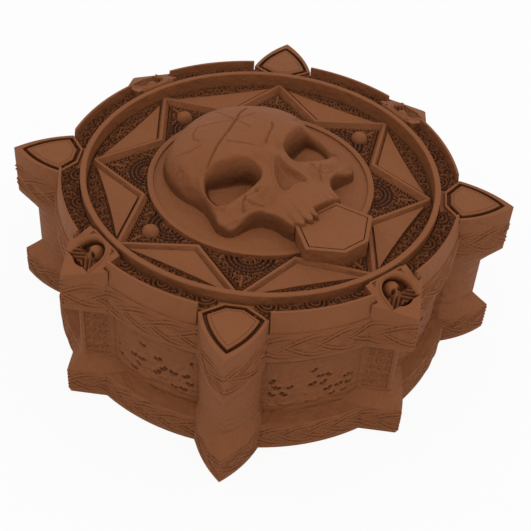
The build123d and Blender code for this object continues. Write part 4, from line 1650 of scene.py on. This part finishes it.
    def build(self, material: bpy.types.Material) -> None:
        """Builds the carvings of all four pilasters.

        Args:
            material: the finish.
        """
        for side in Side:
            for hand in (-1, 1):
                self._scroll_face(side, hand, material)
            self._niche(side, material)
            log.info("carved the %s pilaster", side.name.lower())


# ---------------------------------------------------------------- floor lining


@dataclass
class FloorLining:
    """Felt disc on the floor of the cavity."""

    radius: float = 65.8
    floor: float = 4.5
    thickness: float = 1.45
    edge: float = 64.8
    corners: int = 96

    def build(self, material: bpy.types.Material) -> None:
        """Builds the felt with a soft, rounded edge and a slight unevenness.

        Args:
            material: the felt.
        """
        work = bmesh.new()
        count = self.corners

        def ring(radius: float, level: Callable[[float], float]) -> list[bmesh.types.BMVert]:
            """One ring of corners; the level may change with the angle."""
            turns = [2 * math.pi * place / count for place in range(count)]
            return [
                work.verts.new((radius * math.cos(t) * MM, radius * math.sin(t) * MM, level(t) * MM))
                for t in turns
            ]

        centre_top = work.verts.new((0, 0, (self.floor + self.thickness) * MM))
        centre_low = work.verts.new((0, 0, self.floor * MM))
        upper = []
        for radius in (8, 16, 24, 32, 40, 48, 56, 62, self.edge, 65.5, self.radius):
            drop = 0.55 * max(0.0, (radius - self.edge) / (self.radius - self.edge)) ** 2
            top = self.floor + self.thickness - drop

            def level(turn: float, radius: float = radius, top: float = top) -> float:
                """The top's level, a little wavy inside the rim."""
                return top + 0.06 * math.sin(3 * turn + radius / 9) * (radius < 64) - 0.06

            upper.append(ring(radius, level))
        low = ring(self.radius, lambda turn: self.floor)
        for k in range(count):
            following = (k + 1) % count
            work.faces.new((centre_top, upper[0][k], upper[0][following]))
            for inner, outer in zip(upper[:-1], upper[1:]):
                work.faces.new((inner[k], outer[k], outer[following], inner[following]))
            work.faces.new((upper[-1][k], low[k], low[following], upper[-1][following]))
            work.faces.new((centre_low, low[following], low[k]))
        bmesh.ops.recalc_face_normals(work, faces=work.faces)
        mesh = bpy.data.meshes.new("floor_lining")
        work.to_mesh(mesh)
        work.free()
        mesh.shade_smooth()
        mesh.set_sharp_from_angle(angle=math.radians(50))
        mesh.materials.append(material)
        made = settle(mesh, Role("felt", "chest", "floor_felt"))


# ---------------------------------------------------------------- studio


@dataclass
class Studio:
    """White floor, soft light, and the camera at the photograph's angle."""

    azimuth: float = -41.20
    elevation: float = 42.71
    distance: float = 509.01
    focal_pixels: float = 1126.22
    frame_pixels: float = 531.0
    shift_x: float = 5.7
    shift_y: float = 14.4
    roll: float = 4.43

    def camera(self) -> None:
        """Sets up the camera."""
        turn, rise, roll = (math.radians(v) for v in (self.azimuth, self.elevation, self.roll))
        back = Vector((math.sin(turn) * math.cos(rise), -math.cos(turn) * math.cos(rise), math.sin(rise)))
        level_right = Vector((math.cos(turn), math.sin(turn), 0))
        level_up = back.cross(level_right)
        right = level_right * math.cos(roll) + level_up * math.sin(roll)
        up = level_up * math.cos(roll) - level_right * math.sin(roll)
        data = bpy.data.cameras.new("photo_camera")
        data.sensor_fit = "HORIZONTAL"
        data.sensor_width = 36.0
        data.lens = self.focal_pixels / self.frame_pixels * 36.0
        data.clip_start = 0.01
        camera = bpy.data.objects.new("photo_camera", data)
        place = (back * self.distance + right * self.shift_x + up * self.shift_y) * MM
        camera.matrix_world = Matrix(
            (
                (right.x, up.x, back.x, place.x),
                (right.y, up.y, back.y, place.y),
                (right.z, up.z, back.z, place.z),
                (0, 0, 0, 1),
            )
        )
        bpy.context.scene.collection.objects.link(camera)
        bpy.context.scene.camera = camera

    def _lamp(self, name: str, place: tuple[float, float, float], size: float, power: float) -> None:
        """Adds one soft square lamp that points at the chest.

        Args:
            name: the lamp's name.
            place: where it hangs, in metres.
            size: its side, in metres.
            power: its power, in watts.
        """
        data = bpy.data.lights.new(name, "AREA")
        data.shape = "SQUARE"
        data.size = size
        data.energy = power
        lamp = bpy.data.objects.new(name, data)
        lamp.location = place
        lamp.rotation_euler = (Vector((0, 0, 0.04)) - Vector(place)).to_track_quat("-Z", "Y").to_euler()
        bpy.context.scene.collection.objects.link(lamp)

    @staticmethod
    def _seen(graph: Graph) -> Value:
        """1 where a ray is seen by the camera, a reflection or glass, and else 0.

        Args:
            graph: the tree to add the nodes to.

        Returns:
            The value.
        """
        paths = graph.node("ShaderNodeLightPath")
        kinds = ("Is Camera Ray", "Is Glossy Ray", "Is Transmission Ray")
        camera, glossy, glass = (Value(graph, paths.outputs[kind]) for kind in kinds)
        return (camera + glossy + glass).clamp()

    def light(self) -> None:
        """Sets up lamps and the pale surroundings."""
        world = bpy.data.worlds.new("pale_room")
        bpy.context.scene.world = world
        world.use_nodes = True
        world.node_tree.nodes.clear()
        graph = Graph(world.node_tree)
        seen = self._seen(graph)
        strength = 0.86 + seen * 0.14
        glow = graph.node("ShaderNodeBackground", inputs={"Color": (1, 1, 1, 1), "Strength": strength})
        graph.node("ShaderNodeOutputWorld", inputs={"Surface": glow.outputs[0]})
        self._lamp("key_lamp", (-0.35, -0.25, 0.95), 0.7, 1.6)
        self._lamp("fill_lamp", (0.65, -0.45, 0.75), 0.9, 0.8)

    def floor(self) -> None:
        """Lays the white floor, which keeps the chest's shadow."""
        material = bpy.data.materials.new("white_floor")
        material.use_nodes = True
        material.node_tree.nodes.clear()
        graph = Graph(material.node_tree)
        seen = self._seen(graph)
        matte = graph.node("ShaderNodeBsdfDiffuse", inputs={"Color": (0.8, 0.8, 0.8, 1)})
        glow = graph.node("ShaderNodeEmission", inputs={"Color": (1, 1, 1, 1), "Strength": 1.0})
        mixed = {0: seen * 0.92, 1: matte.outputs[0], 2: glow.outputs[0]}
        blend = graph.node("ShaderNodeMixShader", inputs=mixed)
        graph.node("ShaderNodeOutputMaterial", inputs={"Surface": blend.outputs[0]})
        mesh = bpy.data.meshes.new("studio_floor")
        reach = 6.0
        level = -0.0002
        mesh.from_pydata(
            [(-reach, -reach, level), (reach, -reach, level), (reach, reach, level), (-reach, reach, level)],
            [],
            [(0, 1, 2, 3)],
        )
        mesh.materials.append(material)
        made = bpy.data.objects.new("studio_floor", mesh)
        bpy.context.scene.collection.objects.link(made)

    def build(self) -> None:
        """Sets up camera, light and floor, and the plain view transform."""
        bpy.context.scene.view_settings.view_transform = "Standard"
        self.camera()
        self.light()
        self.floor()


# ---------------------------------------------------------------- assembly


def dress_nodes(frame: dict[str, Any], palette: Palette) -> None:
    """Gives every carried-over solid its finish, by its slot in the record.

    Args:
        palette: the finishes.
    """
    finishes = {
        "carved_brown": palette.face,
        "recess_brown": palette.carved,
        "tray_brown": palette.inside,
        "felt": palette.felt,
        "magnet": palette.magnet,
        "pin": palette.pin,
    }
    slots = {part["node"]: part["material_slot"] for part in frame["record"]["subparts"]}
    for name, node in frame["nodes"].items():
        finish = finishes[slots[name]]
        for slot in node.material_slots:
            slot.material = finish
        if not node.material_slots:
            node.data.materials.append(finish)
    log.info("dressed %d solids", len(frame["nodes"]))


def main() -> None:
    """Loads the frame, builds every carved piece and sets up the studio."""
    logging.basicConfig(level=logging.INFO, format="%(message)s")
    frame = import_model()
    palette = Palette()
    dress_nodes(frame, palette)
    CarvedHead().build(palette.face)
    log.info("carved the head")
    LidFiligree().build(palette.carved)
    log.info("carved the lid")
    WallCarvings().build(palette.face, palette.carved)
    ShieldGrooveShade().build(palette.carved)
    PilasterCarvings().build(palette.face)
    cornice = ChestOutline(83.5, 81.5, 12.9, 103.4, 1.7, 95.0)
    plinth = ChestOutline(85.0, 81.5, 13.6, 103.1, 1.7, 95.4)
    for band in (
        Knotwork("cornice_knotwork", cornice, level=55.6, swing=4.9, waves=13),
        Knotwork("plinth_knotwork", plinth, level=6.8, swing=4.0, waves=16),
    ):
        made = band.build(palette.face)
        log.info("wove %s with %d faces", made.name, len(made.data.polygons))
    FloorLining().build(palette.felt)
    Studio().build()


if __name__ == "__main__":
    main()
